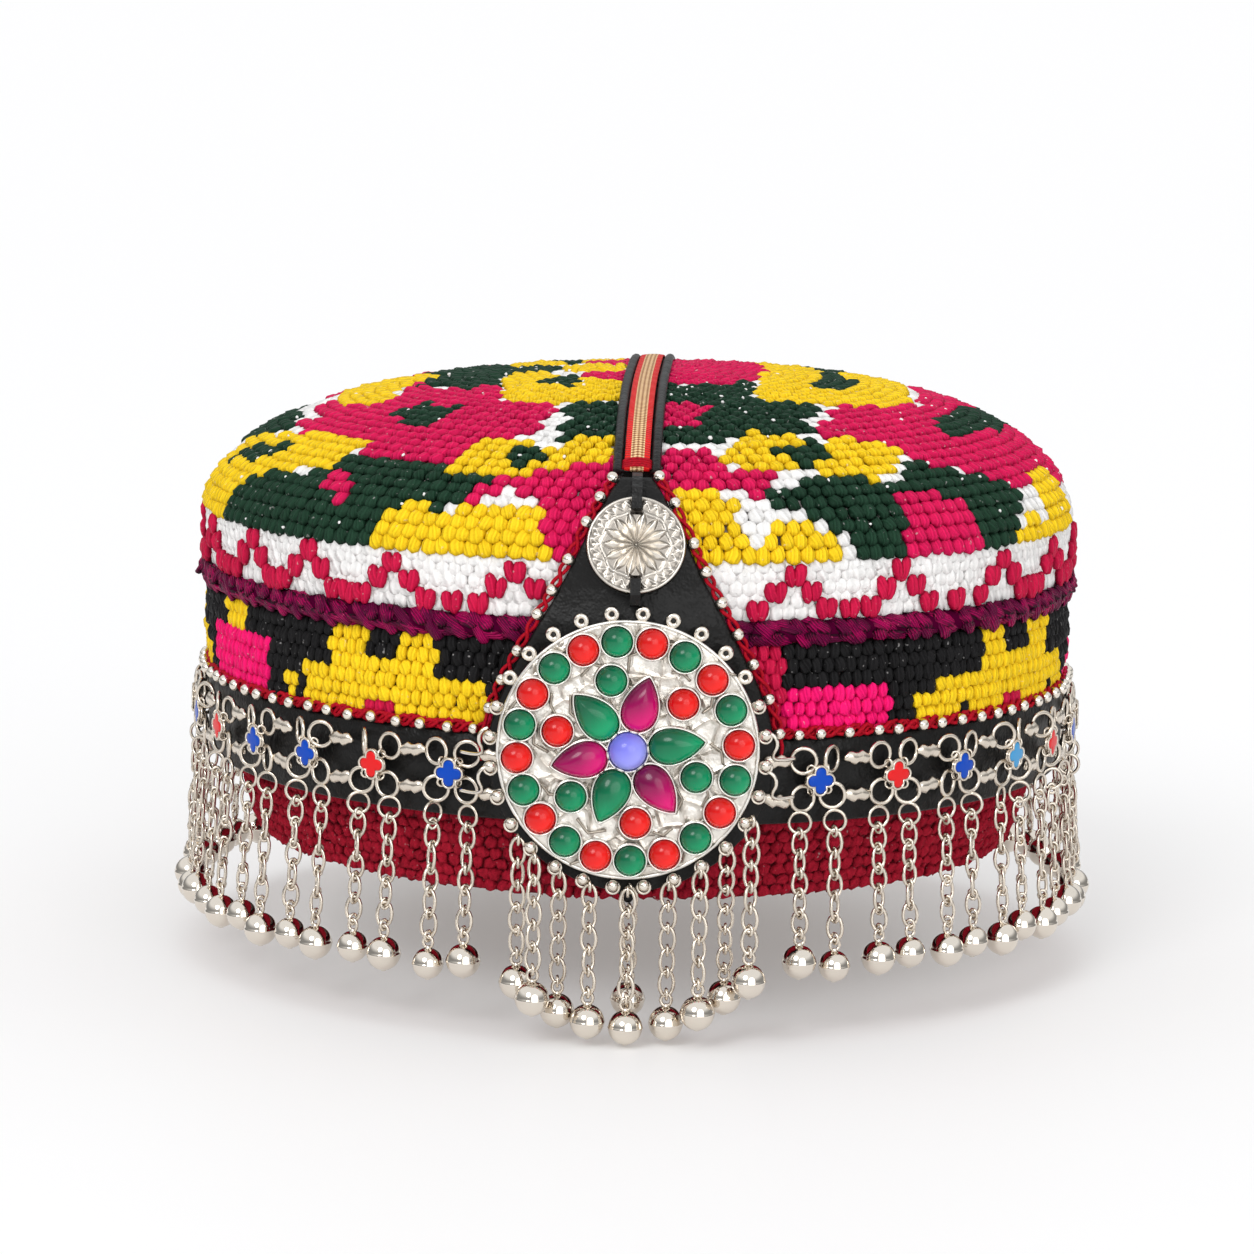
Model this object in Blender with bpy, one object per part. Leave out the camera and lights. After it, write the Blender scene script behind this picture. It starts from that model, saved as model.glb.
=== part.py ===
"""Embroidered cap: a crocheted crown and bands, a leather belt and front panel, a padded strap over
the crown, a silver medallion set with glass stones, and a belt of silver flowers with bells.

Metres, +Z up, front towards -Y. The origin is the middle of the head opening, in the plane of the
headband's lower edge.
"""

import math

import bmesh
import bpy
from mathutils import Matrix, Vector

# Driving sizes
ROUND_SEGMENTS = 36
TOUCH_GAP = 0.0003
KNIT_WALL = 0.0032
CROWN_RADIUS = 0.1015
CREASE_HEIGHT = 0.076
CROWN_RISE = 0.0305
CROWN_POWER = 3.0
RISE_POWER = 1.8
CROWN_LEAN = 0.02
PIECE_CENTRE_X = -0.0009

# Rows from the middle of the top down over the shoulder, as shares of the crown's radius
OUTER_SHARES = (0.0, 0.35, 0.6, 0.78, 0.9, 0.97, 1.0)
INNER_SHARES = (1.0, 0.93, 0.75, 0.45, 0.0)

# Leather and trim
LEATHER = 0.002
LEATHER_LIFT = 0.0003
STRAP_WIDTH, STRAP_THICK = 0.0105, 0.0014
RIBBON_WIDTH, RIBBON_THICK = 0.0054, 0.0006
STRAP_FRONT_X, STRAP_BACK_X = -0.0009, 0.0045

COVER_SHARES = (0.882, 0.78, 0.6, 0.35)

# Wall line that the leather follows under the crease: radius, height
WALL_LINE = (
    (0.1020, 0.0758),
    (0.1021, 0.0700),
    (0.1027, 0.0660),
    (0.1037, 0.0626),
    (0.1037, 0.0585),
    (0.1029, 0.0510),
    (0.1020, 0.0440),
    (0.1015, 0.0360),
)

# Front panel: radius of its inner face, height, half width
PANEL_ROWS = (
    (0.0913, 0.0914, 0.0036),
    (0.0949, 0.0885, 0.0058),
    (0.0979, 0.0854, 0.0077),
    (0.1003, 0.0819, 0.0098),
    (0.1015, 0.0790, 0.0114),
    (0.1020, 0.0758, 0.0130),
    (0.1021, 0.0700, 0.0159),
    (0.1027, 0.0660, 0.0179),
    (0.1037, 0.0626, 0.0200),
    (0.1037, 0.0585, 0.0222),
    (0.1029, 0.0510, 0.0258),
    (0.1020, 0.0440, 0.0284),
    (0.1015, 0.0360, 0.0302),
    (0.1015, 0.0260, 0.0292),
    (0.1015, 0.0170, 0.0246),
    (0.1015, 0.0105, 0.0176),
    (0.1015, 0.0065, 0.0100),
    (0.1015, 0.0043, 0.0022),
    (0.1015, 0.0022, 0.0006),
)
PANEL_COLUMNS = 4

# Medallion, in its own plane: x to the right, y up, z towards the front
MEDALLION_AT = (-0.0016, -0.1062, 0.0362)
PLATE_RADIUS, PLATE_THICK = 0.0274, 0.0016
RIM_RADIUS, RIM_WIRE = 0.0285, 0.0011
MEDALLION_SEGMENTS = 32
STONE_SIDES, DROP_SIDES = 10, 12
ROUND_STONE_RADIUS, ROUND_STONE_HEIGHT = 0.0032, 0.0031
DROP_LENGTH, DROP_WIDTH, DROP_HEIGHT = 0.0118, 0.0076, 0.0034
CENTRE_STONE_RADIUS, CENTRE_STONE_HEIGHT = 0.0041, 0.0039
OUTER_CIRCLE, OUTER_COUNT, OUTER_START_DEG = 0.0237, 20, -6.0
INNER_CIRCLE, INNER_DEGREES = 0.0156, (-14, 48, 110, 173, 230, 285)
DROP_CIRCLE, DROP_DEGREES = 0.0105, (15, 82, 142, 201, 258, 316)

# Star disc
DISC_RADIUS, DISC_THICK, DISC_RIM = 0.0107, 0.0012, 0.0010
DISC_AT = (-0.0007, -0.1038, 0.0796)
DISC_TILT_DEG = 20.0
DISC_RAYS = 14
TAB_WIDTH, TAB_THICK = 0.0022, 0.0011

# Chain round the belt
FLOWERS_A_SIDE = 15
FIRST_FLOWER_DEG, FLOWER_PITCH_DEG = 22.5, 10.7
CHAIN_MEET_DEG = 179.9
CHAIN_INNER, CHAIN_OUTER = 0.1014, 0.1048
CHAIN_ROWS = (0.0212, 0.0246, 0.0284, 0.0322, 0.0356)
FLOWER_NARROW_DEG, FLOWER_WIDE_DEG = 1.9, 3.3
CHAIN_END_DEG = 1.0
STRAND_OFFSET_DEG = 2.3
STRAND_SIDES, BELL_SIDES = 8, 10
STRAND_RADIUS = 0.0012
STRAND_TOP_RADIUS = 0.0009
STRAND_TOP_CIRCLE = 0.1031
BELL_CIRCLE, BELL_HEIGHT, SIDE_LIFT = 0.1053, -0.0126, 0.0006
BELL_LIFTS = (0.0008, -0.0007, 0.0001, 0.0005, -0.0004, 0.0003, -0.0009)
BELL_RADII = (0.00375, 0.00345)

# Bells under the medallion: across, towards the back, height of the bell's middle
FRINGE_BELLS = (
    (-0.0247, 0.0027, -0.0155),
    (-0.0211, -0.0028, -0.0178),
    (-0.0158, 0.0027, -0.0216),
    (-0.0092, -0.0010, -0.0230),
    (-0.0010, -0.0014, -0.0241),
    (-0.0006, 0.0064, -0.0197),
    (0.0077, 0.0012, -0.0236),
    (0.0144, -0.0024, -0.0204),
    (0.0201, 0.0027, -0.0180),
    (0.0252, -0.0024, -0.0132),
)
FRINGE_ARC_RADIUS, FRINGE_ARC_WIRE, FRINGE_ARC_HALF_DEG = 0.0310, 0.0011, 64.0
FRINGE_ARC_DEPTH = 0.0009
FRINGE_BELL_RADIUS = 0.00375

# Colour, roughness, metallic
MATERIALS = {
    "crown_yarn": ((0.90, 0.86, 0.80), 0.75, 0.0),
    "plum_yarn": ((0.10, 0.004, 0.03), 0.6, 0.0),
    "band_yarn": ((0.75, 0.45, 0.03), 0.75, 0.0),
    "crimson_yarn": ((0.25, 0.008, 0.02), 0.85, 0.0),
    "black_leather": ((0.030, 0.028, 0.027), 0.5, 0.0),
    "red_ribbon": ((0.60, 0.02, 0.015), 0.6, 0.0),
    "silver": ((0.80, 0.74, 0.68), 0.28, 1.0),
    "green_glass": ((0.0, 0.24, 0.09), 0.12, 0.0),
    "red_glass": ((0.80, 0.01, 0.012), 0.12, 0.0),
    "magenta_glass": ((0.50, 0.004, 0.12), 0.12, 0.0),
    "blue_glass": ((0.20, 0.22, 0.72), 0.15, 0.0),
}


def material(name):
    """The named finish, made on first use."""
    found = bpy.data.materials.get(name)
    if found:
        return found
    colour, roughness, metallic = MATERIALS[name]
    made = bpy.data.materials.new(name)
    made.use_nodes = True
    shader = made.node_tree.nodes["Principled BSDF"]
    shader.inputs["Base Color"].default_value = (*colour, 1.0)
    shader.inputs["Roughness"].default_value = roughness
    shader.inputs["Metallic"].default_value = metallic
    return made


def to_mesh(name, shape, finish, smooth_angle_deg=50.0):
    """The finished mesh of a shape, smooth where its faces meet at less than the angle."""
    bmesh.ops.recalc_face_normals(shape, faces=shape.faces)
    mesh = bpy.data.meshes.new(name)
    shape.to_mesh(mesh)
    shape.free()
    mesh.shade_smooth()
    mesh.set_sharp_from_angle(angle=math.radians(smooth_angle_deg))
    mesh.materials.append(material(finish))
    return mesh


def place(name, mesh, location=(0, 0, 0), rotation=(0, 0, 0)):
    """An object of that mesh in the scene."""
    piece = bpy.data.objects.new(name, mesh)
    piece.location = location
    piece.rotation_euler = rotation
    bpy.context.scene.collection.objects.link(piece)
    return piece


def helper(name, shape):
    """A shape that a modifier uses and that isn't shown."""
    piece = place(name, to_mesh(name, shape, "silver"))
    piece.hide_render = True
    piece.display_type = "WIRE"
    return piece


def turned(profile, segments=ROUND_SEGMENTS):
    """A closed profile of (radius, height) spun about +Z. Points on the axis become poles."""
    shape = bmesh.new()
    points = [shape.verts.new((radius, 0, height)) for radius, height in profile]
    edges = []
    for first, second in zip(points, points[1:] + points[:1]):
        if first.co.x > 0 or second.co.x > 0:
            edges.append(shape.edges.new((first, second)))
    bmesh.ops.spin(
        shape,
        geom=points + edges,
        axis=(0, 0, 1),
        cent=(0, 0, 0),
        steps=segments,
        angle=math.tau,
        use_merge=True,
    )
    bmesh.ops.remove_doubles(shape, verts=shape.verts, dist=1e-6)
    return shape


def bridge(shape, upper, lower):
    """Joins two rings about one axis, which may have different numbers of corners, or one ring
    and a pole."""
    if len(upper) == len(lower):
        for side in range(len(upper)):
            after = (side + 1) % len(upper)
            shape.faces.new((upper[side], upper[after], lower[after], lower[side]))
        return
    above, below = 0, 0
    below_steps = len(lower) if len(lower) > 1 else 0
    while above < len(upper) or below < below_steps:
        share_above = (above + 0.5) / len(upper)
        share_below = (below + 0.5) / below_steps if below_steps else 2.0
        a = upper[above % len(upper)]
        b = lower[below % len(lower)]
        if above < len(upper) and share_above <= share_below or below >= below_steps:
            above += 1
            shape.faces.new((a, upper[above % len(upper)], b))
        else:
            below += 1
            shape.faces.new((a, lower[below % len(lower)], b))


def rings(shape, start, end, stations):
    """Adds a closed turned body along the line from start to end. A station is (distance, radius,
    corners), and a radius of 0 is a pole."""
    line = end - start
    turn = line.to_track_quat("Z", "Y").to_matrix().to_4x4()
    put = Matrix.Translation(start) @ turn
    loops = []
    for distance, radius, corners in stations:
        if radius == 0:
            loops.append([shape.verts.new(put @ Vector((0, 0, distance)))])
            continue
        loop = []
        for corner in range(corners):
            angle = math.tau * corner / corners
            local = Vector((radius * math.cos(angle), radius * math.sin(angle), distance))
            loop.append(shape.verts.new(put @ local))
        loops.append(loop)
    for upper, lower in zip(loops, loops[1:]):
        bridge(shape, upper, lower)
    shape.faces.new(loops[0])


def crown_height(radius, rim=CROWN_RADIUS, base=CREASE_HEIGHT, rise=CROWN_RISE):
    """Height of the dome over a radius: a superellipse from the crease to the top."""
    share = min(radius / rim, 1.0)
    return base + rise * (1 - share**CROWN_POWER) ** (1 / RISE_POWER)


def lean(height, across):
    """How far the leaning dome lifts a point, from nothing at the crease to most at the top."""
    return CROWN_LEAN * across * min(max(height - CREASE_HEIGHT, 0) / CROWN_RISE, 1.0)


def crown():
    """The hollow dome with the white band under its crease."""
    outer = [(CROWN_RADIUS * s, crown_height(CROWN_RADIUS * s)) for s in OUTER_SHARES]
    inner_rim = CROWN_RADIUS - KNIT_WALL
    inner_base = CREASE_HEIGHT - 0.0012
    inner_rise = CROWN_RISE - KNIT_WALL + 0.0012
    inner = [
        (inner_rim * s, crown_height(inner_rim * s, inner_rim, inner_base, inner_rise))
        for s in INNER_SHARES
    ]
    edge = 0.0635
    shape = turned(outer + [(0.1010, edge), (0.1010 - KNIT_WALL, edge)] + inner)
    for point in shape.verts:
        point.co.z += lean(point.co.z, point.co.x)
    place("crown", to_mesh("crown", shape, "crown_yarn", 60))


def bands():
    """The wound roll, the side band and the headband, each turned from its own section."""
    roll = []
    for degrees in (0, 68, 130, 230, 292):
        angle = math.radians(degrees)
        roll.append((0.1004 + 0.0029 * math.cos(angle), 0.0605 + 0.0029 * math.sin(angle)))
    place("braid_roll", to_mesh("braid_roll", turned(roll), "plum_yarn", 70))

    side = [(0.0988, 0.0386), (0.1006, 0.0430), (0.1009, 0.0500), (0.1004, 0.0575)]
    side += [(0.1004 - KNIT_WALL, 0.0575), (0.0971, 0.0386)]
    place("side_band", to_mesh("side_band", turned(side), "band_yarn"))

    head = [(0.0867, 0.0), (0.0886, 0.0), (0.0902, 0.0035), (0.0948, 0.0185)]
    head += [(0.0986, 0.0225), (0.0986, 0.0382), (0.0950, 0.0382), (0.0862, 0.0018)]
    place("headband", to_mesh("headband", turned(head), "crimson_yarn"))


def belt():
    """The leather belt over the top of the headband."""
    inner = 0.0986 + 0.0004
    outer = inner + LEATHER
    section = [(inner, 0.0185), (outer, 0.0185), (outer, 0.0370), (inner, 0.0370)]
    place("leather_belt", to_mesh("leather_belt", turned(section), "black_leather"))


def panel():
    """The front panel: rows bent round the cap, with the leather's thickness outwards."""
    shape = bmesh.new()
    grid = []
    for radius, height, half in PANEL_ROWS:
        row = []
        for column in range(PANEL_COLUMNS + 1):
            x = PIECE_CENTRE_X + half * (2 * column / PANEL_COLUMNS - 1)
            y = -math.sqrt(radius**2 - x**2)
            row.append(shape.verts.new((x, y, height + lean(height, x))))
        grid.append(row)
    for upper, lower in zip(grid, grid[1:]):
        for column in range(PANEL_COLUMNS):
            corners = (upper[column], lower[column], lower[column + 1], upper[column + 1])
            shape.faces.new(corners)
    mesh = to_mesh("leather_shield", shape, "black_leather", 60)
    middle = mesh.polygons[len(mesh.polygons) // 2]
    if middle.normal.y > 0:
        mesh.flip_normals()
    piece = place("leather_shield", mesh)
    wall = piece.modifiers.new("leather", "SOLIDIFY")
    wall.thickness = LEATHER
    wall.offset = 1.0
    wall.use_even_offset = True


def cover_line(lift):
    """Points (distance to the front, height) over the cap from front to back, lifted off it."""
    front = [Vector((CROWN_RADIUS * s, crown_height(CROWN_RADIUS * s))) for s in COVER_SHARES]
    back = [Vector((-point.x, point.y)) for point in reversed(front[1:])]
    for share in (0.9, 0.97):
        back.append(Vector((-CROWN_RADIUS * share, crown_height(CROWN_RADIUS * share))))
    shoulder = len(front) + len(back)
    back += [Vector((-radius + LEATHER_LIFT, height)) for radius, height in WALL_LINE]
    line = front + [Vector((0.0, crown_height(0.0)))] + back
    lifted = []
    for index, point in enumerate(line):
        before = line[max(index - 1, 0)]
        after = line[min(index + 1, len(line) - 1)]
        along = (after - before).normalized()
        outwards = Vector((along.y, -along.x))
        if outwards.y < 0:
            outwards = -outwards
        if index > shoulder:
            outwards = Vector((-abs(outwards.x), outwards.y))
        lifted.append(point + outwards * lift)
    return lifted


def band_over_crown(name, finish, width, thick, lift, chamfer):
    """A strip over the cap, six-sided in section, from the panel's point to the belt behind."""
    shape = bmesh.new()
    line = cover_line(lift)
    upper_line = cover_line(lift + thick)
    half = width / 2
    section = ((-half + chamfer, 0.0), (-half, 0.5), (-half + chamfer, 1.0))
    section += ((half - chamfer, 1.0), (half, 0.5), (half - chamfer, 0.0))
    front, back = line[0].x, line[-1].x
    loops = []
    for under, over in zip(line, upper_line):
        share = (front - under.x) / (front - back)
        centre = STRAP_FRONT_X + (STRAP_BACK_X - STRAP_FRONT_X) * share
        loop = []
        for across, up in section:
            point = under.lerp(over, up)
            x = centre + across
            loop.append(shape.verts.new((x, -point.x, point.y + lean(point.y, x))))
        loops.append(loop)
    count = len(section)
    for first, second in zip(loops, loops[1:]):
        for side in range(count):
            after = (side + 1) % count
            shape.faces.new((first[side], first[after], second[after], second[side]))
    shape.faces.new(loops[0])
    shape.faces.new(loops[-1])
    place(name, to_mesh(name, shape, finish, 60))


def star_disc():
    """The domed disc with its rim and raised rays, tilted back on the panel."""
    front = DISC_THICK + 0.0004
    profile = [(0.0, 0.0), (DISC_RADIUS, 0.0), (DISC_RADIUS, DISC_THICK)]
    profile += [(DISC_RADIUS - DISC_RIM, DISC_THICK), (0.0, front)]
    shape = turned(profile, 28)
    tilt = math.radians(90 - DISC_TILT_DEG)
    piece = place("star_disc", to_mesh("star_disc", shape, "silver", 30), DISC_AT, (tilt, 0, 0))
    rays = bmesh.new()
    foot, head = [], []
    for index in range(2 * DISC_RAYS):
        angle = math.tau * index / (2 * DISC_RAYS)
        reach = 0.0066 if index % 2 == 0 else 0.0026
        x, y = reach * math.cos(angle), reach * math.sin(angle)
        foot.append(rays.verts.new((x, y, DISC_THICK - 0.0004)))
        head.append(rays.verts.new((x * 0.93, y * 0.93, front + 0.0005)))
    count = len(foot)
    for index in range(count):
        after = (index + 1) % count
        rays.faces.new((foot[index], foot[after], head[after], head[index]))
    rays.faces.new(foot)
    rays.faces.new(head)
    raised = helper("disc_rays", rays)
    raised.parent = piece
    join = piece.modifiers.new("rays", "BOOLEAN")
    join.operation = "UNION"
    join.object = raised


def disc_tabs():
    """The two leather tabs that hold the disc: each laps from the panel over the disc's rim."""
    upper = ((0.0934, 0.0930), (0.0975, 0.0928), (0.1013, 0.0913), (0.1032, 0.0873))
    lower = ((0.1083, 0.0731), (0.1093, 0.0701), (0.1082, 0.0686), (0.1051, 0.0678))
    for name, line in (("disc_tab_upper", upper), ("disc_tab_lower", lower)):
        shape = bmesh.new()
        loops = []
        for index, (radius, height) in enumerate(line):
            before = Vector(line[max(index - 1, 0)])
            after = Vector(line[min(index + 1, len(line) - 1)])
            along = (after - before).normalized()
            outwards = Vector((-along.y, along.x)) * TAB_THICK
            loop = []
            for side, depth in ((-1, 0), (1, 0), (1, 1), (-1, 1)):
                point = Vector((radius, height)) + outwards * depth
                x = DISC_AT[0] + side * TAB_WIDTH / 2
                loop.append(shape.verts.new((x, -point.x, point.y)))
            loops.append(loop)
        for first, second in zip(loops, loops[1:]):
            for side in range(4):
                after = (side + 1) % 4
                shape.faces.new((first[side], first[after], second[after], second[side]))
        shape.faces.new(loops[0])
        shape.faces.new(loops[-1])
        place(name, to_mesh(name, shape, "black_leather"))


def circle_outline(radius, sides):
    """Corners of a round outline."""
    return [
        Vector((radius * math.cos(math.tau * i / sides), radius * math.sin(math.tau * i / sides)))
        for i in range(sides)
    ]


def drop_outline(length, width, sides=DROP_SIDES):
    """Corners of a teardrop outline with its tip on +y: the sides swell towards the round end."""
    widest = 0.77
    outline = []
    for index in range(sides):
        turn = math.tau * index / sides
        across = math.sin(turn) * math.sin(turn / 2) / widest
        outline.append(Vector((-width / 2 * across, length / 2 * math.cos(turn))))
    return outline


def domed(outline, base, shoulder, top):
    """A low domed solid over an outline: a foot, a shoulder and a point on top."""
    shape = bmesh.new()
    middle = sum(outline, Vector((0, 0))) / len(outline)
    foot = [shape.verts.new((point.x, point.y, base)) for point in outline]
    ring = []
    for point in outline:
        inner = middle.lerp(point, 0.80)
        ring.append(shape.verts.new((inner.x, inner.y, shoulder)))
    tip = shape.verts.new((middle.x, middle.y, top))
    count = len(outline)
    for index in range(count):
        after = (index + 1) % count
        shape.faces.new((foot[index], foot[after], ring[after], ring[index]))
        shape.faces.new((ring[index], ring[after], tip))
    shape.faces.new(foot)
    return shape


def stone_places():
    """Rows of (name, outline kind, circle radius, clockwise degrees from the top, glass)."""
    rows = []
    for index in range(OUTER_COUNT):
        even = 360 / OUTER_COUNT * index
        degrees = OUTER_START_DEG + even + 1.6 - 2.2 * math.cos(math.radians(even))
        glass = "green_glass" if index % 2 == 0 else "red_glass"
        rows.append((f"stone_outer_{index + 1:02d}", "round", OUTER_CIRCLE, degrees, glass))
    for index, degrees in enumerate(INNER_DEGREES):
        glass = "green_glass" if index % 2 == 0 else "red_glass"
        rows.append((f"stone_inner_{index + 1}", "round", INNER_CIRCLE, degrees, glass))
    for index, degrees in enumerate(DROP_DEGREES):
        glass = "magenta_glass" if index % 2 == 0 else "green_glass"
        rows.append((f"stone_drop_{index + 1}", "drop", DROP_CIRCLE, degrees, glass))
    rows.append(("stone_centre", "centre", 0.0, 0.0, "blue_glass"))
    return rows


def outline_of(kind):
    """A stone's outline at its foot."""
    if kind == "drop":
        return drop_outline(DROP_LENGTH, DROP_WIDTH)
    radius = CENTRE_STONE_RADIUS if kind == "centre" else ROUND_STONE_RADIUS
    return circle_outline(radius, STONE_SIDES)


def medallion():
    """The silver plate with the thick wire round its rim, turned as one piece."""
    profile = [(0.0, 0.0), (PLATE_RADIUS, 0.0)]
    middle = PLATE_THICK / 2
    for degrees in (-60, 0, 60):
        angle = math.radians(degrees)
        profile.append((RIM_RADIUS + RIM_WIRE * math.cos(angle), middle + 0.0014 * math.sin(angle)))
    profile += [(PLATE_RADIUS, PLATE_THICK), (0.0, PLATE_THICK)]
    shape = turned(profile, MEDALLION_SEGMENTS)
    facing = (math.radians(90), 0, 0)
    place("medallion", to_mesh("medallion", shape, "silver", 35), MEDALLION_AT, facing)


def stones():
    """The glass stones, each a domed solid standing on the plate."""
    heights = {"round": ROUND_STONE_HEIGHT, "drop": DROP_HEIGHT, "centre": CENTRE_STONE_HEIGHT}
    meshes = {}
    for name, kind, circle, degrees, glass in stone_places():
        if (kind, glass) not in meshes:
            height = heights[kind]
            dome = domed(outline_of(kind), 0.0, 0.62 * height, height)
            meshes[kind, glass] = to_mesh(f"{kind}_{glass}", dome, glass, 80)
        angle = math.radians(degrees)
        across, up = circle * math.sin(angle), circle * math.cos(angle)
        at = Vector(MEDALLION_AT) + Vector((across, -PLATE_THICK - TOUCH_GAP, up))
        place(name, meshes[kind, glass], at, (math.radians(90), angle, 0))


def strand(shape, top, bell, bell_radius, top_radius):
    """Adds one strand with its bell: a slim tube that widens into the bell and ends in a pole."""
    length = (bell - top).length
    stations = (
        (0.0, top_radius, STRAND_SIDES),
        (length - 0.92 * bell_radius, STRAND_RADIUS, STRAND_SIDES),
        (length - 0.42 * bell_radius, 0.94 * bell_radius, BELL_SIDES),
        (length + 0.45 * bell_radius, 0.93 * bell_radius, BELL_SIDES),
        (length + bell_radius, 0, 1),
    )
    rings(shape, top, bell, stations)


def around(degrees, radius, height):
    """The point at an angle to the right of the front."""
    angle = math.radians(degrees)
    return Vector((radius * math.sin(angle), -radius * math.cos(angle), height))


def belt_chain(name, side):
    """Half of the chain: two rails of rings, a flower plate across them at each pitch, and two
    strands with bells under each flower. Side is -1 for the left half and 1 for the right."""
    shape = bmesh.new()
    columns = []
    for index in range(FLOWERS_A_SIDE):
        middle = FIRST_FLOWER_DEG + FLOWER_PITCH_DEG * index
        columns.append((middle, -1))
        columns.append((middle, 1))
    first = [FIRST_FLOWER_DEG - FLOWER_WIDE_DEG - CHAIN_END_DEG] * 4
    last = [CHAIN_MEET_DEG] * 4

    def column_points(middle, edge):
        points = []
        for row, height in enumerate(CHAIN_ROWS):
            reach = FLOWER_WIDE_DEG if row == 2 else FLOWER_NARROW_DEG
            points.append(shape.verts.new(around(side * (middle + edge * reach), CHAIN_OUTER, height)))
        return points

    def end_points(degrees):
        rows = (0, 1, 3, 4)
        made = {}
        for row, angle in zip(rows, degrees):
            made[row] = shape.verts.new(around(side * angle, CHAIN_OUTER, CHAIN_ROWS[row]))
        return made

    lines = [column_points(*column) for column in columns]
    ends = [end_points(first)] + lines + [end_points(last)]
    for index, (before, after) in enumerate(zip(ends, ends[1:])):
        whole = index % 2 == 1
        rows = ((0, 1), (1, 2), (2, 3), (3, 4)) if whole else ((0, 1), (3, 4))
        for low, high in rows:
            shape.faces.new((before[low], after[low], after[high], before[high]))
    mesh = to_mesh(name, shape, "silver", 40)
    outwards = mesh.polygons[0].center.xy.dot(mesh.polygons[0].normal.xy)
    if outwards < 0:
        mesh.flip_normals()
    piece = place(name, mesh)
    depth = piece.modifiers.new("depth", "SOLIDIFY")
    depth.thickness = CHAIN_OUTER - CHAIN_INNER
    depth.offset = -1.0
    depth.use_even_offset = True

    hung = bmesh.new()
    for index in range(FLOWERS_A_SIDE):
        middle = FIRST_FLOWER_DEG + FLOWER_PITCH_DEG * index
        for turn, offset in enumerate((-STRAND_OFFSET_DEG, STRAND_OFFSET_DEG)):
            degrees = side * (middle + offset)
            top = around(degrees, STRAND_TOP_CIRCLE, CHAIN_ROWS[0] + 0.0009)
            lift = side * SIDE_LIFT + BELL_LIFTS[(2 * index + turn) % len(BELL_LIFTS)]
            bell = around(degrees, BELL_CIRCLE, BELL_HEIGHT + lift)
            strand(hung, top, bell, BELL_RADII[turn], STRAND_TOP_RADIUS)
    strands = helper(f"{name}_strands", hung)
    join = piece.modifiers.new("strands", "BOOLEAN")
    join.operation = "UNION"
    join.object = strands


def medallion_fringe():
    """The row of rings under the medallion's rim, with its strands and bells."""
    centre = Vector(MEDALLION_AT) - Vector((0, FRINGE_ARC_DEPTH, 0))
    shape = bmesh.new()
    loops = []
    steps = 12
    for step in range(steps + 1):
        angle = math.radians(-FRINGE_ARC_HALF_DEG + 2 * FRINGE_ARC_HALF_DEG * step / steps)
        outwards = Vector((math.sin(angle), 0, -math.cos(angle)))
        loop = []
        for corner in range(6):
            turn = math.tau * (corner + 0.5) / 6
            wire = outwards * math.cos(turn) + Vector((0, math.sin(turn), 0))
            loop.append(shape.verts.new(centre + outwards * FRINGE_ARC_RADIUS + wire * FRINGE_ARC_WIRE))
        loops.append(loop)
    for first, second in zip(loops, loops[1:]):
        for corner in range(6):
            after = (corner + 1) % 6
            shape.faces.new((first[corner], first[after], second[after], second[corner]))
    shape.faces.new(loops[0])
    shape.faces.new(loops[-1])
    piece = place("medallion_fringe", to_mesh("medallion_fringe", shape, "silver", 50))

    hung = bmesh.new()
    for across, back, height in FRINGE_BELLS:
        drop = math.sqrt(FRINGE_ARC_RADIUS**2 - (across - centre.x) ** 2)
        top = Vector((across, centre.y, centre.z - drop))
        bell = Vector((across, centre.y + back, height))
        strand(hung, top, bell, FRINGE_BELL_RADIUS, STRAND_TOP_RADIUS)
    strands = helper("fringe_strands", hung)
    join = piece.modifiers.new("strands", "BOOLEAN")
    join.operation = "UNION"
    join.use_self = True
    join.object = strands


for leftover in list(bpy.data.objects):
    bpy.data.objects.remove(leftover)

crown()
bands()
belt()
panel()
band_over_crown("crown_strap", "black_leather", STRAP_WIDTH, STRAP_THICK, LEATHER_LIFT, 0.0009)
ribbon_lift = LEATHER_LIFT + STRAP_THICK + TOUCH_GAP
band_over_crown("strap_ribbon", "red_ribbon", RIBBON_WIDTH, RIBBON_THICK, ribbon_lift, 0.0003)
star_disc()
disc_tabs()
medallion()
stones()
belt_chain("belt_chain_left", -1)
belt_chain("belt_chain_right", 1)
medallion_fringe()
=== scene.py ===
"""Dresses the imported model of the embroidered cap: crocheted yarn, leather, glass and silver chain."""

import math

import bpy
import numpy as np
from mathutils import Matrix, Vector


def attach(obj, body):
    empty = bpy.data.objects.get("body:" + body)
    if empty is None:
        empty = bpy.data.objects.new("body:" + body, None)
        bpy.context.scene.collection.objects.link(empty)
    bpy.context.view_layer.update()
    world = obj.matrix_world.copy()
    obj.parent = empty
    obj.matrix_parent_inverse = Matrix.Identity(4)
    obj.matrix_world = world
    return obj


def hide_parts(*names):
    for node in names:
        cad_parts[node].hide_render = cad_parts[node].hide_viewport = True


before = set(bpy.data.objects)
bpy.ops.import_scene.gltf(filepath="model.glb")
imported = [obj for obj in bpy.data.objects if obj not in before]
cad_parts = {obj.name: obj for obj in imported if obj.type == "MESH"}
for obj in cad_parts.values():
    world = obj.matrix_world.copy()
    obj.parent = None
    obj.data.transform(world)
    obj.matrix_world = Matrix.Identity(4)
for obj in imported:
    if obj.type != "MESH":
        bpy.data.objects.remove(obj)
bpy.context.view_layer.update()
rng = np.random.default_rng(7)

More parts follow.
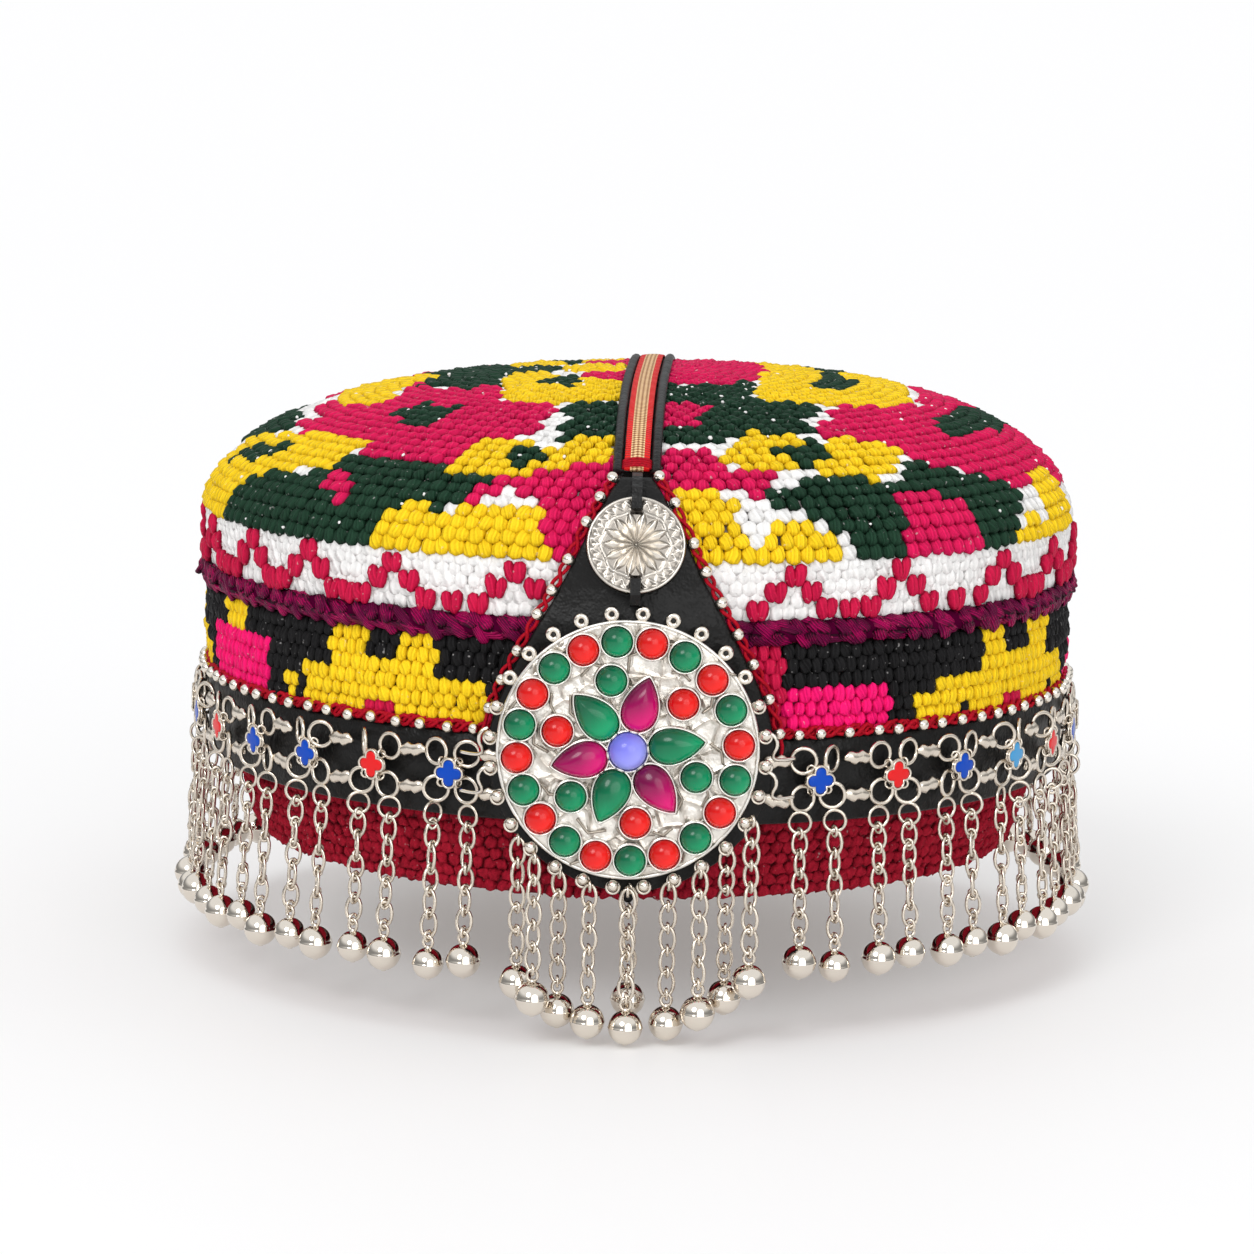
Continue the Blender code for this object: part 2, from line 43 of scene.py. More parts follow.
# Crown
# The domed top and the white band under its crease, crocheted in rows of thick soft yarn. Each
# stitch is a plump lump on a hollow shell, and the motifs are blocks of one colour with a centre.
MM = 0.001
CROWN_RADIUS, CREASE_Z, CROWN_RISE = 101.5, 76.0, 30.5
CROWN_LEAN = 0.02
STITCH_WIDTH, STITCH_ROW = 3.35, 2.95
YARN = {
    "yellow": (0.98, 0.60, 0.006),
    "magenta": (0.68, 0.001, 0.085),
    "green": (0.005, 0.036, 0.016),
    "white": (0.81, 0.795, 0.78),
    "crimson": (0.56, 0.001, 0.050),
    "black": (0.003, 0.0025, 0.003),
    "pink": (0.92, 0.0, 0.15),
    "wine": (0.40, 0.003, 0.022),
}
# How much of its colour a yarn keeps in the painted shade on its stitches' sides and in the gaps between
# them
GAP_SHADE_TONE = {"yellow": 0.95, "magenta": 0.6, "pink": 0.75, "crimson": 0.6}
# Blocks of the crown's pattern, seen from above in millimetres, later ones on top: colour, corners
CROWN_BLOCKS = (
    ("green", ((-97, -38), (-92, -38), (-84, -45), (-74, -57), (-66, -59), (-59, -64), (-51, -70),
               (-41, -79), (-31, -84), (-36, -90), (-45, -87), (-56, -82), (-64, -84), (-80, -70))),
    ("magenta", ((-70, -65), (-67, -63), (-62, -71), (-65, -74))),
    ("yellow", ((-57, -82), (-48, -84), (-41, -89), (-30, -91), (-20, -94), (-20, -104), (-62, -90))),
    ("magenta", ((-36, -85), (-20, -85), (-10, -84), (-9, -79), (-4, -79), (-4, -104), (-20, -104),
                 (-20, -94), (-27, -90), (-36, -89))),
    ("white", ((-31, -88), (-26, -88), (-25, -91), (-30, -91))),
    ("yellow", ((-41, -79), (-38, -71), (-34, -69), (-27, -70), (-22, -75), (-17, -76), (-16, -73),
                (-4, -73), (-5, -80), (-9, -84), (-20, -85), (-31, -85), (-36, -82))),
    ("green", ((-30, -80), (-27, -76), (-23, -76), (-17, -80), (-26, -82))),
    ("magenta", ((-80, -18), (-76, -34), (-70, -43), (-64, -50), (-61, -56), (-63, -59), (-55, -67),
                 (-48, -72), (-40, -77), (-38, -71), (-34, -68), (-22, -71), (-21, -65), (-24, -60),
                 (-20, -58), (-19, -49), (-32, -43), (-33, -25), (-37, -21), (-45, -25), (-49, -14),
                 (-53, -3), (-54, -22), (-58, -30), (-64, -24), (-70, -8), (-75, 0), (-74, -17),
                 (-71, -27), (-76, -22))),
    ("green", ((-57, -42), (-53, -38), (-48, -37), (-44, -43), (-40, -43), (-43, -53), (-47, -59),
               (-52, -52))),
    ("yellow", ((-104, -4), (-104, -38), (-92, -38), (-84, -45), (-73, -57), (-67, -61), (-61, -57),
                (-64, -49), (-70, -43), (-76, -35), (-82, -26), (-86, -17), (-93, -8))),
    ("green", ((-94, -18), (-88, -22), (-84, -30), (-80, -36), (-77, -45), (-83, -38), (-88, -34))),
    ("green", ((-96, 20), (-82, 20), (-82, 0), (-79, -8), (-80, -22), (-84, -20), (-91, -9))),
    ("yellow", ((-72, 20), (-70, 0), (-69, -14), (-64, -24), (-58, -29), (-56, -25), (-57, -8), (-46, 8),
                (-46, 20))),
    ("green", ((-51, 2), (-51, -12), (-46, -13), (-43, -19), (-39, -25), (-33, -24), (-33, -8),
               (-30, -1), (-20, -3), (-18, 20), (-40, 20), (-42, 8))),
    ("yellow", ((-30, 1), (-21, 0), (-20, -10), (-13, -15), (-8, -18), (-4, -22), (-4, -48), (-18, -49),
                (-24, -47), (-31, -43), (-31, -20))),
    ("green", ((-24, -23), (-20, -15), (-17, -8), (-13, -18), (-14, -25), (-17, -34), (-20, -26))),
    ("yellow", ((-19, 20), (-4, 20), (-4, 0), (-12, -2), (-17, 4))),
    ("magenta", ((-13, -3), (-3, -3), (-3, -20), (-9, -17), (-12, -13))),
    ("green", ((-17, -50), (-4, -50), (-4, -73), (-17, -74), (-19, -67), (-15, -62), (-18, -56))),
    ("magenta", ((4, 20), (27, 20), (29, 5), (27, -9), (24, -18), (21, -26), (4, -26))),
    ("green", ((4, -27), (20, -28), (22, -21), (25, -22), (25, -44), (29, -42), (39, -44), (40, -52),
               (35, -55), (38, -58), (37, -66), (33, -65), (24, -68), (19, -72), (18, -76), (4, -77))),
    ("magenta", ((4, -50), (9, -50), (15, -53), (16, -57), (13, -60), (12, -67), (4, -70))),
    ("yellow", ((29, 5), (33, 20), (62, 20), (61, -28), (55, -34), (48, -38), (40, -41), (29, -44),
                (26, -41), (27, -15))),
    ("green", ((43, 20), (47, 12), (46, 2), (50, -2), (49, -10), (46, -20), (42, -25), (36, -20),
               (40, -8), (42, 5))),
    ("magenta", ((66, 20), (100, 20), (99, 0), (97, -20), (90, -27), (88, -36), (86, -45), (80, -50),
                 (72, -56), (66, -61), (60, -65), (57, -59), (52, -60), (44, -64), (40, -66), (39, -60),
                 (41, -55), (46, -52), (43, -51), (42, -45), (45, -40), (50, -37), (55, -34), (60, -28),
                 (64, -20), (64, -5))),
    ("green", ((82, 12), (76, 0), (72, -12), (68, -28), (65, -40), (71, -41), (75, -33), (80, -22),
               (85, -8), (86, 6))),
    ("yellow", ((16, -84), (29, -82), (34, -81), (40, -79), (50, -77), (56, -70), (57, -61), (50, -60),
                (42, -65), (40, -68), (33, -65), (24, -68), (20, -71), (19, -80))),
    ("white", ((34, -81), (37, -79), (41, -66), (38, -65))),
    ("green", ((29, -75), (33, -72), (37, -67), (39, -70), (44, -70), (39, -74), (36, -78), (32, -76))),
    ("green", ((86, -45), (81, -50), (72, -57), (60, -64), (57, -70), (55, -74), (48, -77), (40, -80),
               (33, -82), (34, -85), (27, -88), (29, -91), (46, -90), (64, -86), (90, -62), (84, -56))),
    ("magenta", ((73, -65), (66, -69), (57, -76), (55, -79), (61, -86), (80, -72))),
    ("yellow", ((94, -18), (90, -27), (88, -36), (95, -42), (104, -34), (100, -20))),
    ("yellow", ((87, -49), (93, -40), (104, -36), (92, -62), (84, -57))),
    ("magenta", ((4, -78), (16, -78), (18, -81), (15, -84), (24, -84), (29, -82), (30, -85), (25, -90),
                 (8, -91), (4, -104), (2, -90))),
    ("yellow", ((7, -92), (16, -91), (21, -92), (22, -95), (28, -94), (36, -92), (44, -91), (44, -98),
                (22, -106), (8, -104))),
    ("white", ((21, -92), (29, -90), (28, -96), (24, -98), (21, -96))),
)
MIRROR_Y, PANEL_X = 8.0, -0.9
# The strap drifts to the right on its way back, and hides the stitches near its middle
STRAP_DRIFT, STRAP_FRONT_Y, STRAP_REACH, STRAP_COVER = 5.4, -89.5, 191.0, 4.3
STRAP_BACK_X, STRAP_FROM_Y = PANEL_X + STRAP_DRIFT, -91.0
# The panel's tip hides the stitches in front of a line, on a width that grows towards the front
TIP_LINE_Y, TIP_Y, TIP_HALF, TIP_SPREAD = -86.0, -90.0, 3.2, 0.62


def build(name, points, faces, finish, slot, nodes=(), **attributes):
    """A smooth mesh from points in millimetres and arrays of faces, which rides on the body. Each
    attribute holds one value or one vector per point."""
    mesh = bpy.data.meshes.new(name)
    points = np.asarray(points, float).reshape(-1, 3) * MM
    corners = np.concatenate([face.reshape(-1) for face in faces]).astype(np.int32)
    sizes = np.concatenate([np.full(len(face), face.shape[1]) for face in faces])
    starts = np.concatenate([[0], np.cumsum(sizes)[:-1]]).astype(np.int32)
    mesh.vertices.add(len(points))
    mesh.vertices.foreach_set("co", points.reshape(-1))
    mesh.loops.add(len(corners))
    mesh.loops.foreach_set("vertex_index", corners)
    mesh.polygons.add(len(sizes))
    mesh.polygons.foreach_set("loop_start", starts)
    for key, values in attributes.items():
        values = np.asarray(values, np.float32)
        kind, field = ("FLOAT", "value") if values.ndim == 1 else ("FLOAT_VECTOR", "vector")
        mesh.attributes.new(key, kind, "POINT").data.foreach_set(field, values.reshape(-1))
    mesh.update(calc_edges=True)
    mesh.shade_smooth()
    mesh.materials.append(finish)
    piece = bpy.data.objects.new(name, mesh)
    bpy.context.scene.collection.objects.link(piece)
    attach(piece, "root")
    if nodes:
        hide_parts(*nodes)
    return piece


def grid_faces(rows, columns, wrap_rows=False, wrap_columns=False):
    """Quads of a grid whose point (i, j) has the index i * columns + j."""
    i = np.arange(rows if wrap_rows else rows - 1)[:, None]
    j = np.arange(columns if wrap_columns else columns - 1)[None, :]
    here, right = i * columns + j, i * columns + (j + 1) % columns
    below = (i + 1) % rows * columns
    return np.stack([here, right, below + (j + 1) % columns, below + j], -1).reshape(-1, 4)


def turn_faces(rings, sides, cap_start=True, cap_end=True):
    """Quads of stacked rings, with a fan's worth of triangles from each end to a pole point, which
    come after the rings: first the start's pole, then the end's."""
    faces = [grid_faces(rings, sides, wrap_columns=True)]
    j = np.arange(sides)
    pole = rings * sides
    if cap_start:
        faces.append(np.stack([(j + 1) % sides, j, np.full(sides, pole)], -1))
        pole += 1
    if cap_end:
        last = (rings - 1) * sides
        faces.append(np.stack([last + j, last + (j + 1) % sides, np.full(sides, pole)], -1))
    return faces


def capped(rings, start, end):
    """A closed shape from rings of points, with a pole over its first ring and one over its last."""
    return np.concatenate([rings.reshape(-1, 3), [start, end]]), turn_faces(*rings.shape[:2])


def full_turn(count):
    """Angles of a full turn in equal steps, which stop one step before the start."""
    return np.linspace(0, 2 * np.pi, count, endpoint=False)


def lathe(profile, segments):
    """A closed profile of (radius, height) turned about +Z, counter-clockwise in (r, z) so that
    faces point out. The ends of a profile that starts and ends on the axis become poles."""
    profile = np.asarray(profile, float)
    hollow = profile[0, 0] > 1e-6
    rows = profile if hollow else profile[1:-1]
    turn = full_turn(segments)
    rings = [rows[:, :1] * np.cos(turn), rows[:, :1] * np.sin(turn), rows[:, 1:] + 0 * turn]
    points = np.stack(rings, -1).reshape(-1, 3)
    if hollow:
        return points, [grid_faces(len(rows), segments, True, True)]
    poles = [[0, 0, profile[0, 1]], [0, 0, profile[-1, 1]]]
    return np.concatenate([points, poles]), turn_faces(len(rows), segments)


def lump(sides=8, rings=3, taper=0.16, flat=0.8):
    """A closed stitch of radius 1, long along y: sin for the girth, wider at its upper end."""
    lat = np.pi * np.arange(1, rings + 1) / (rings + 1)
    turn = 2 * np.pi * np.arange(sides) / sides
    girth = np.sin(lat)[:, None] ** 0.8 * (1 - taper * np.cos(lat)[:, None])
    x = girth * np.cos(turn)
    z = girth * np.sin(turn) * flat
    y = -np.cos(lat)[:, None] * np.ones(sides)
    return capped(np.stack([x, y, -z], -1), [0, -1.0, 0], [0, 1.0, 0])


def scatter(template, centres, across, along, out, sizes):
    """Copies of a template: a point (x, y, z) of it lies at centre + x across + y along + z out."""
    points, faces = template
    scaled = points[None] * sizes[:, None]
    placed = (
        centres[:, None]
        + scaled[..., :1] * across[:, None]
        + scaled[..., 1:2] * along[:, None]
        + scaled[..., 2:] * out[:, None]
    )
    step = len(points) * np.arange(len(centres))[:, None, None]
    return placed.reshape(-1, 3), [(face[None] + step).reshape(-1, face.shape[1]) for face in faces]


def inside(x, y, corners):
    """Whether points lie in a polygon, by counting the sides to their right."""
    found = np.zeros(x.shape, bool)
    corners = np.asarray(corners, float)
    for (x0, y0), (x1, y1) in zip(corners, np.roll(corners, -1, 0)):
        if y0 == y1:
            continue
        crosses = (y < y0) != (y < y1)
        found ^= crosses & (x < x0 + (y - y0) * (x1 - x0) / (y1 - y0))
    return found


class Value:
    """A shader value that adds, subtracts, multiplies and compares through Math nodes."""

    def __init__(self, tree, socket):
        self.tree, self.socket = tree, socket

    def math(self, operation, *others):
        made = self.tree.nodes.new("ShaderNodeMath")
        made.operation = operation
        for plug, item in zip(made.inputs, (self, *others)):
            connect(self.tree, item, plug)
        return Value(self.tree, made.outputs[0])

    def __add__(self, other):
        return self.math("ADD", other)

    def __sub__(self, other):
        return self.math("SUBTRACT", other)

    def __rsub__(self, other):
        return (self * -1.0) + other

    def __mul__(self, other):
        return self.math("MULTIPLY", other)

    def __lt__(self, other):
        return self.math("LESS_THAN", other)

    __radd__, __rmul__ = __add__, __mul__


def connect(tree, item, plug):
    """Links a Value to a socket, or sets the socket to a number or colour."""
    if isinstance(item, Value):
        tree.links.new(item.socket, plug)
    else:
        plug.default_value = item


class Finish:
    """A material under construction, with a Principled shader and the nodes that feed it."""

    def __init__(self, name, colour=(0.8, 0.8, 0.8), roughness=0.5, metallic=0.0, **constants):
        self.made = bpy.data.materials.new(name)
        self.made.use_nodes = True
        self.made.diffuse_color = (*colour, 1.0)
        self.tree = self.made.node_tree
        self.shader = self.tree.nodes["Principled BSDF"]
        self.set("Base Color", (*colour, 1.0))
        self.set("Roughness", roughness)
        self.set("Metallic", metallic)
        for key, value in constants.items():
            self.set(key.replace("_", " "), value)

    def node(self, kind, settings=None, output=0, **inputs):
        """Adds a node: its settings first, then its inputs. Returns one output as a Value."""
        made = self.tree.nodes.new("ShaderNode" + kind)
        for key, value in (settings or {}).items():
            setattr(made, key, value)
        for key, value in inputs.items():
            connect(self.tree, value, made.inputs[key.replace("_", " ")])
        return Value(self.tree, made.outputs[output])

    def set(self, socket, value):
        connect(self.tree, value, self.shader.inputs[socket])

    def place(self):
        return self.node("TexCoord", output="Object")

    def parts(self, vector):
        """The x, y and z of a vector."""
        outputs = self.node("SeparateXYZ", Vector=vector).socket.node.outputs
        return [Value(self.tree, socket) for socket in outputs]

    def attribute(self, name, output="Vector"):
        return self.node("Attribute", {"attribute_name": name}, output)

    def mix(self, factor, first, second):
        """The first colour at factor 0 and the second at 1."""
        made = self.tree.nodes.new("ShaderNodeMix")
        made.data_type = "RGBA"
        plugs = [socket for socket in made.inputs if socket.type == "RGBA"]
        connect(self.tree, factor, made.inputs[0])
        for plug, item in zip(plugs, (first, second)):
            connect(self.tree, item if isinstance(item, Value) else (*item, 1.0), plug)
        return Value(self.tree, [socket for socket in made.outputs if socket.type == "RGBA"][0])

    def noise(self, vector, scale, detail=3.0, roughness=0.55):
        return self.node("TexNoise", Vector=vector, Scale=scale, Detail=detail, Roughness=roughness)

    def bump(self, height, strength, distance):
        """Feeds a height to the shader's normal."""
        self.set("Normal", self.node("Bump", Height=height, Strength=strength, Distance=distance * MM))


def yarn(name, colour, ply=5.0, fuzz=1.0, roughness=0.55, shade_tone=0.35):
    """Soft plied yarn: fine strands run along each stitch, painted shade darkens its sides and the gaps,
    pale painted glints fleck it, and each stitch has its own random tone. The stitch attribute holds
    the place in the stitch, shade a random number."""
    made = Finish(name, colour, roughness, Specular_IOR_Level=0.07)
    x, y, z = made.parts(made.attribute("stitch"))
    shade = made.attribute("shade", "Fac")
    swirl = (y * 1.6 + shade * 6.0).math("SINE") * 0.25
    strands = ((x + swirl + y * 0.3) * (ply * 2.0) + shade * 9.0).math("SINE")
    fibres = made.noise(made.place(), 1700.0, 3.0)
    # Painted shade: the low sides of each stitch, and so the gaps between stitches, take the darker low
    # colour; its top takes the lighter high one
    side = made.node("MapRange", Value=z, From_Min=-0.15, From_Max=0.6)
    tone = side * 0.62 + strands * 0.10 + fibres * 0.30 + shade * 0.22 - 0.04
    low = tuple(channel * shade_tone * 0.5 for channel in colour)
    high = tuple(min(channel * 1.1 + 0.01, 1.0) for channel in colour)
    # Painted glints: pale specks from fine noise, mixed into the base colour and the bump
    glints = made.noise(made.place(), 900.0, 1.0)
    glints = made.node("MapRange", Value=glints, From_Min=0.70, From_Max=0.80)
    made.set("Base Color", made.mix(glints * 0.3, made.mix(tone, low, high), (0.9, 0.86, 0.84)))
    made.bump(strands * 0.8 + fibres * fuzz + glints, 0.7, 0.3)
    return made.made


def dome(share, crease=CREASE_Z, rise=CROWN_RISE):
    """Height of the dome at a share of its radius: nearly flat on top and steep at the side."""
    return crease + rise * (1 - np.abs(share) ** 3) ** (1 / 1.8)


def crown_profile(samples=2400):
    """(radius, height, distance along the dome from the crease) from the crease to the top."""
    radius = CROWN_RADIUS * (1 - np.linspace(0, 1, samples) ** 2.2)
    height = dome(np.clip(radius / CROWN_RADIUS, 0, 1))
    steps = np.hypot(np.diff(radius), np.diff(height))
    return radius, height, np.concatenate([[0], np.cumsum(steps)])


def crown_lift(z, x):
    """The lean of the dome: the right side stands a little higher."""
    return CROWN_LEAN * x * np.clip((z - CREASE_Z) / CROWN_RISE, 0, 1)


def unit(vectors):
    """Vectors scaled to length 1."""
    return vectors / np.linalg.norm(vectors, axis=-1, keepdims=True)


def directions(angle):
    """The outward, sideways and upward directions at angles round the cap from its front."""
    flat = 0 * angle
    out = np.stack([np.sin(angle), -np.cos(angle), flat], -1)
    side = np.stack([np.cos(angle), np.sin(angle), flat], -1)
    return out, side, np.stack([flat, flat, flat + 1], -1)


def stitch_rows(radii, heights, slopes, width):
    """Stitch places on rows round the cap. A slope is the (dr, dz) that a row's stitches rise in.
    Returns arrays: centre, across, along, out, angle, row and the width of a stitch."""
    found = []
    for row, (radius, height, slope) in enumerate(zip(radii, heights, slopes)):
        count = max(int(round(2 * np.pi * radius / width)), 5)
        angle = 2 * np.pi * (np.arange(count) + 0.5 * (row % 2)) / count
        angle = angle + rng.normal(0, 0.05, count) * 2 * np.pi / count
        out, side, up = directions(angle)
        centre = radius * out + height * up
        along, face = slope[0] * out + slope[1] * up, slope[1] * out - slope[0] * up
        wide = np.full(count, 2 * np.pi * radius / count)
        found.append((centre, side, along, face, angle, np.full(count, row), wide))
    return [np.concatenate(column) for column in zip(*found)]


def stitches(
    name, places, chosen, size, finish, slot, template, sink=0.15, lean=0.22, rough=0.07, pitch=0.0
):
    """One piece of yarn: a lump at each chosen place, a little turned, rough and varied in size.
    Pitch lifts the lower end of each stitch over the row below, like a scale."""
    centre, across, along, out = (places[i][chosen] for i in range(4))
    wide = places[6][chosen]
    count = len(centre)
    turn = lean * rng.normal(0.55, 0.5, count)[:, None]
    along, out = (
        along * math.cos(pitch) - out * math.sin(pitch),
        out * math.cos(pitch) + along * math.sin(pitch),
    )
    tilted = along * np.cos(turn) + across * np.sin(turn)
    sideways = across * np.cos(turn) - along * np.sin(turn)
    vary = rng.normal(1, 0.07, (count, 3))
    sizes = np.stack([wide * size[0], np.full(count, size[1]), np.full(count, size[2])], -1) * vary
    raised = centre + out * (rng.normal(0, 0.07, count) - sink)[:, None]
    points, faces = scatter(template, raised, sideways, tilted, out, sizes)
    points = points + rng.normal(0, rough, points.shape)
    local = np.tile(template[0], (count, 1))
    shade = np.repeat(rng.random(count), len(template[0]))
    return build(name, points, faces, finish, slot, stitch=local, shade=shade)


def strap_centre(y):
    """Where the strap's middle lies across the cap, from the front to the back."""
    return PANEL_X + STRAP_DRIFT * np.clip((y - STRAP_FRONT_Y) / STRAP_REACH, 0, 1)


radius, height, distance = crown_profile()
rows = np.arange(0.5 * STITCH_ROW, distance[-1] - 0.3 * STITCH_ROW, STITCH_ROW)
row_radius = np.interp(rows, distance, radius)
row_height = np.interp(rows, distance, height)
ahead_r, ahead_z = np.interp(rows + 0.3, distance, radius), np.interp(rows + 0.3, distance, height)
rise = unit(np.stack([ahead_r - row_radius, ahead_z - row_height], -1))
crown_places = stitch_rows(row_radius, row_height, rise, STITCH_WIDTH)
crown_x, crown_y = crown_places[0][:, 0], crown_places[0][:, 1]
crown_places[0][:, 2] += crown_lift(crown_places[0][:, 2], crown_x)
chart_y = np.where(crown_y > MIRROR_Y, 2 * MIRROR_Y - crown_y, crown_y)
crown_colour = np.full(len(crown_x), "white", dtype="<U8")
for colour, corners in CROWN_BLOCKS:
    crown_colour[inside(crown_x, chart_y, corners)] = colour
under_strap = (np.abs(crown_x - strap_centre(crown_y)) < STRAP_COVER) & (crown_y > STRAP_FROM_Y)
tip_half = TIP_HALF + (TIP_Y - crown_y) * TIP_SPREAD
under_panel = (crown_y < TIP_LINE_Y) & (np.abs(crown_x - PANEL_X) < tip_half)
shown = ~(under_strap | under_panel)
CROWN_STITCH, WHITE_STITCH = lump(taper=-0.1), lump(8, 3, 0.0, 0.8)
for colour in ("yellow", "magenta", "green"):
    chosen = shown & (crown_colour == colour)
    finish = yarn(f"{colour}_crown_yarn", YARN[colour], shade_tone=GAP_SHADE_TONE.get(colour, 0.35))
    name, size = f"crown_{colour}_stitches", (0.57, 2.4, 1.7)
    stitches(name, crown_places, chosen, size, finish, "crown_yarn", CROWN_STITCH, pitch=0.28)
white_yarn = yarn("white_crown_yarn", YARN["white"], ply=3.0, shade_tone=1.0)
stitches(
    "crown_white_stitches", crown_places, shown & (crown_colour == "white"), (0.66, 2.3, 1.25),
    white_yarn, "crown_yarn", WHITE_STITCH, sink=0.35, lean=0.08, rough=0.05, pitch=0.12,
)
# Specks of the white yarn that is carried behind the coloured stitches show between some of them
odds = np.where(crown_colour == "green", 0.12, 0.02)
speck = shown & (crown_colour != "white") & (rng.random(len(crown_x)) < odds)
centre, across, along, out = (crown_places[i][speck] for i in range(4))
corner = centre + across * (0.5 * STITCH_WIDTH) - along * 0.5 + out * 0.85
speck_sizes = rng.uniform(0.25, 0.6, (len(corner), 3))
points, faces = scatter(lump(6, 2), corner, across, along, out, speck_sizes)
carried_yarn = Finish("carried_yarn", YARN["white"], 0.8).made
build("crown_white_specks", points, faces, carried_yarn, "crown_yarn")

# The white band: smooth rows of white stitches under the crease, and over them a zigzag of crimson
# ones, each a pair of lumps with their upper ends spread like horns
RIM_ROWS_Z, RIM_RADII = (64.8, 67.5, 70.2, 72.9, 75.3), (101.0, 101.2, 101.3, 101.4, 101.2)
ZIGZAG_ROWS_Z, ZIGZAG_STEP_DEG = (72.9, 69.3, 65.5), 2.3
HORN_CIRCLE, HORN_SPREAD, HORN_OFFSET = 101.7, 0.2, 1.05
PEAKS_DEG = (-73.0, -58.0, -45.5, -31.5, -15.0, 19.0, 34.0, 52.5, 67.0)
BACK_PEAKS, RIM_STITCH_WIDTH = 16, 3.0


def behind_leather(centre, half, top_z, widens):
    """Whether stitches lie under the strap at the back or under the front panel, which has a half
    width at a height and widens below it."""
    x, y, z = centre.T
    panel = (np.abs(x - PANEL_X) < half + (top_z - z) * widens) & (y < 0)
    return panel | ((np.abs(x - STRAP_BACK_X) < STRAP_COVER) & (y > 0))


rim_places = stitch_rows(RIM_RADII, RIM_ROWS_Z, [(0, 1)] * 4 + [(-0.3, 0.95)], RIM_STITCH_WIDTH)
stitches(
    "rim_white_stitches", rim_places, ~behind_leather(rim_places[0], 14.0, 75, 0.5), (0.70, 2.2, 1.2),
    white_yarn, "crown_yarn", WHITE_STITCH, sink=0.25, lean=0.06, rough=0.05,
)
peaks = np.concatenate([PEAKS_DEG, np.linspace(67.0, 287.0, BACK_PEAKS)[1:-1]])
peaks = np.sort((peaks + 180) % 360 - 180)
valleys = (peaks + np.roll(peaks, -1) + 360 * (np.arange(len(peaks)) == len(peaks) - 1)) / 2
# Each tooth has a peak, two steps down on either side and a stitch in the valley
steps = [(0, 0), (-1, 1), (1, 1), (-2, 2), (2, 2)]
tooth_deg = np.concatenate([*[peaks + step * ZIGZAG_STEP_DEG for step, _ in steps], valleys])
tooth_z = [ZIGZAG_ROWS_Z[row] for _, row in steps] + [ZIGZAG_ROWS_Z[2] - 0.2]
tooth_z = np.repeat(tooth_z, len(peaks))
tooth_deg = tooth_deg + rng.normal(0, 0.12, len(tooth_deg))
horns = []
for way in (-1, 1):
    angle = np.radians(tooth_deg) + way * HORN_OFFSET / CROWN_RADIUS
    out, side, up = directions(angle)
    horn_z = tooth_z + rng.normal(0, 0.15, len(angle))
    along = up * math.cos(HORN_SPREAD) + way * side * math.sin(HORN_SPREAD)
    across = side * math.cos(HORN_SPREAD) - way * up * math.sin(HORN_SPREAD)
    centre = HORN_CIRCLE * out + horn_z[:, None] * up
    horns.append((centre, across, along, out, angle, 0 * angle, 0 * angle + 1))
horns = [np.concatenate(column) for column in zip(*horns)]
rim_crimson = yarn("crimson_rim_yarn", YARN["crimson"], ply=4.0, shade_tone=GAP_SHADE_TONE["crimson"])
stitches(
    "rim_crimson_stitches", horns, ~behind_leather(horns[0], 14.5, 75, 0.5), (1.5, 2.6, 1.4),
    rim_crimson, "crown_yarn", lump(8, 4, 0.05, 0.85), sink=-0.45, lean=0.05,
)

# The shell behind the stitches: its outer face, seen through the holes, is painted dark as shade there, and
# inside it is the pale back of the same yarn
backing = Finish("crown_backing", (0.05, 0.03, 0.03), 0.9)
inner = backing.attribute("inner", "Fac")
weave = backing.node(
    "TexVoronoi", {"feature": "F1"}, Vector=backing.place(), Scale=330.0, Randomness=0.7
)
tint = backing.mix(weave, (0.62, 0.55, 0.50), (0.22, 0.15, 0.14))
# Painted shade: the dark outer face stands for the shade in the holes between stitches
outer = backing.mix(weave, (0.05, 0.035, 0.035), (0.35, 0.32, 0.31))
backing.set("Base Color", backing.mix(inner, outer, tint))
backing.bump(weave, 0.6, 0.6)
share = np.linspace(0, 1, 30) ** 0.6
outer_radius, inner_radius = CROWN_RADIUS - 0.5, 98.3
outside = np.stack([outer_radius * share, dome(share) - 0.3], -1)
lining = np.stack([inner_radius * share, dome(share, 74.8, 28.5)], -1)
lower_edge = [[98.1, 70.0], [97.9, 63.6], [100.6, 63.6], [100.8, 70.0]]
points, faces = lathe(np.concatenate([lining, lower_edge, outside[::-1]]), 120)
share_r = np.hypot(points[:, 0], points[:, 1]) / CROWN_RADIUS
under_dome = points[:, 2] < dome(np.clip(share_r, 0, 1)) - 1.6
lined = (share_r < 0.975) & under_dome
points[:, 2] += crown_lift(points[:, 2], points[:, 0])
build("crown_shell", points, faces, backing.made, "crown_yarn", ["crown"], inner=lined)

# Braid roll
# A fat roll round the cap, wound in puffy bundles of fine plum thread that slant over each other,
# with magenta strands among them.
ROLL_CIRCLE, ROLL_Z, ROLL_THICK, ROLL_CORE = 100.2, 60.6, 2.35, 2.45
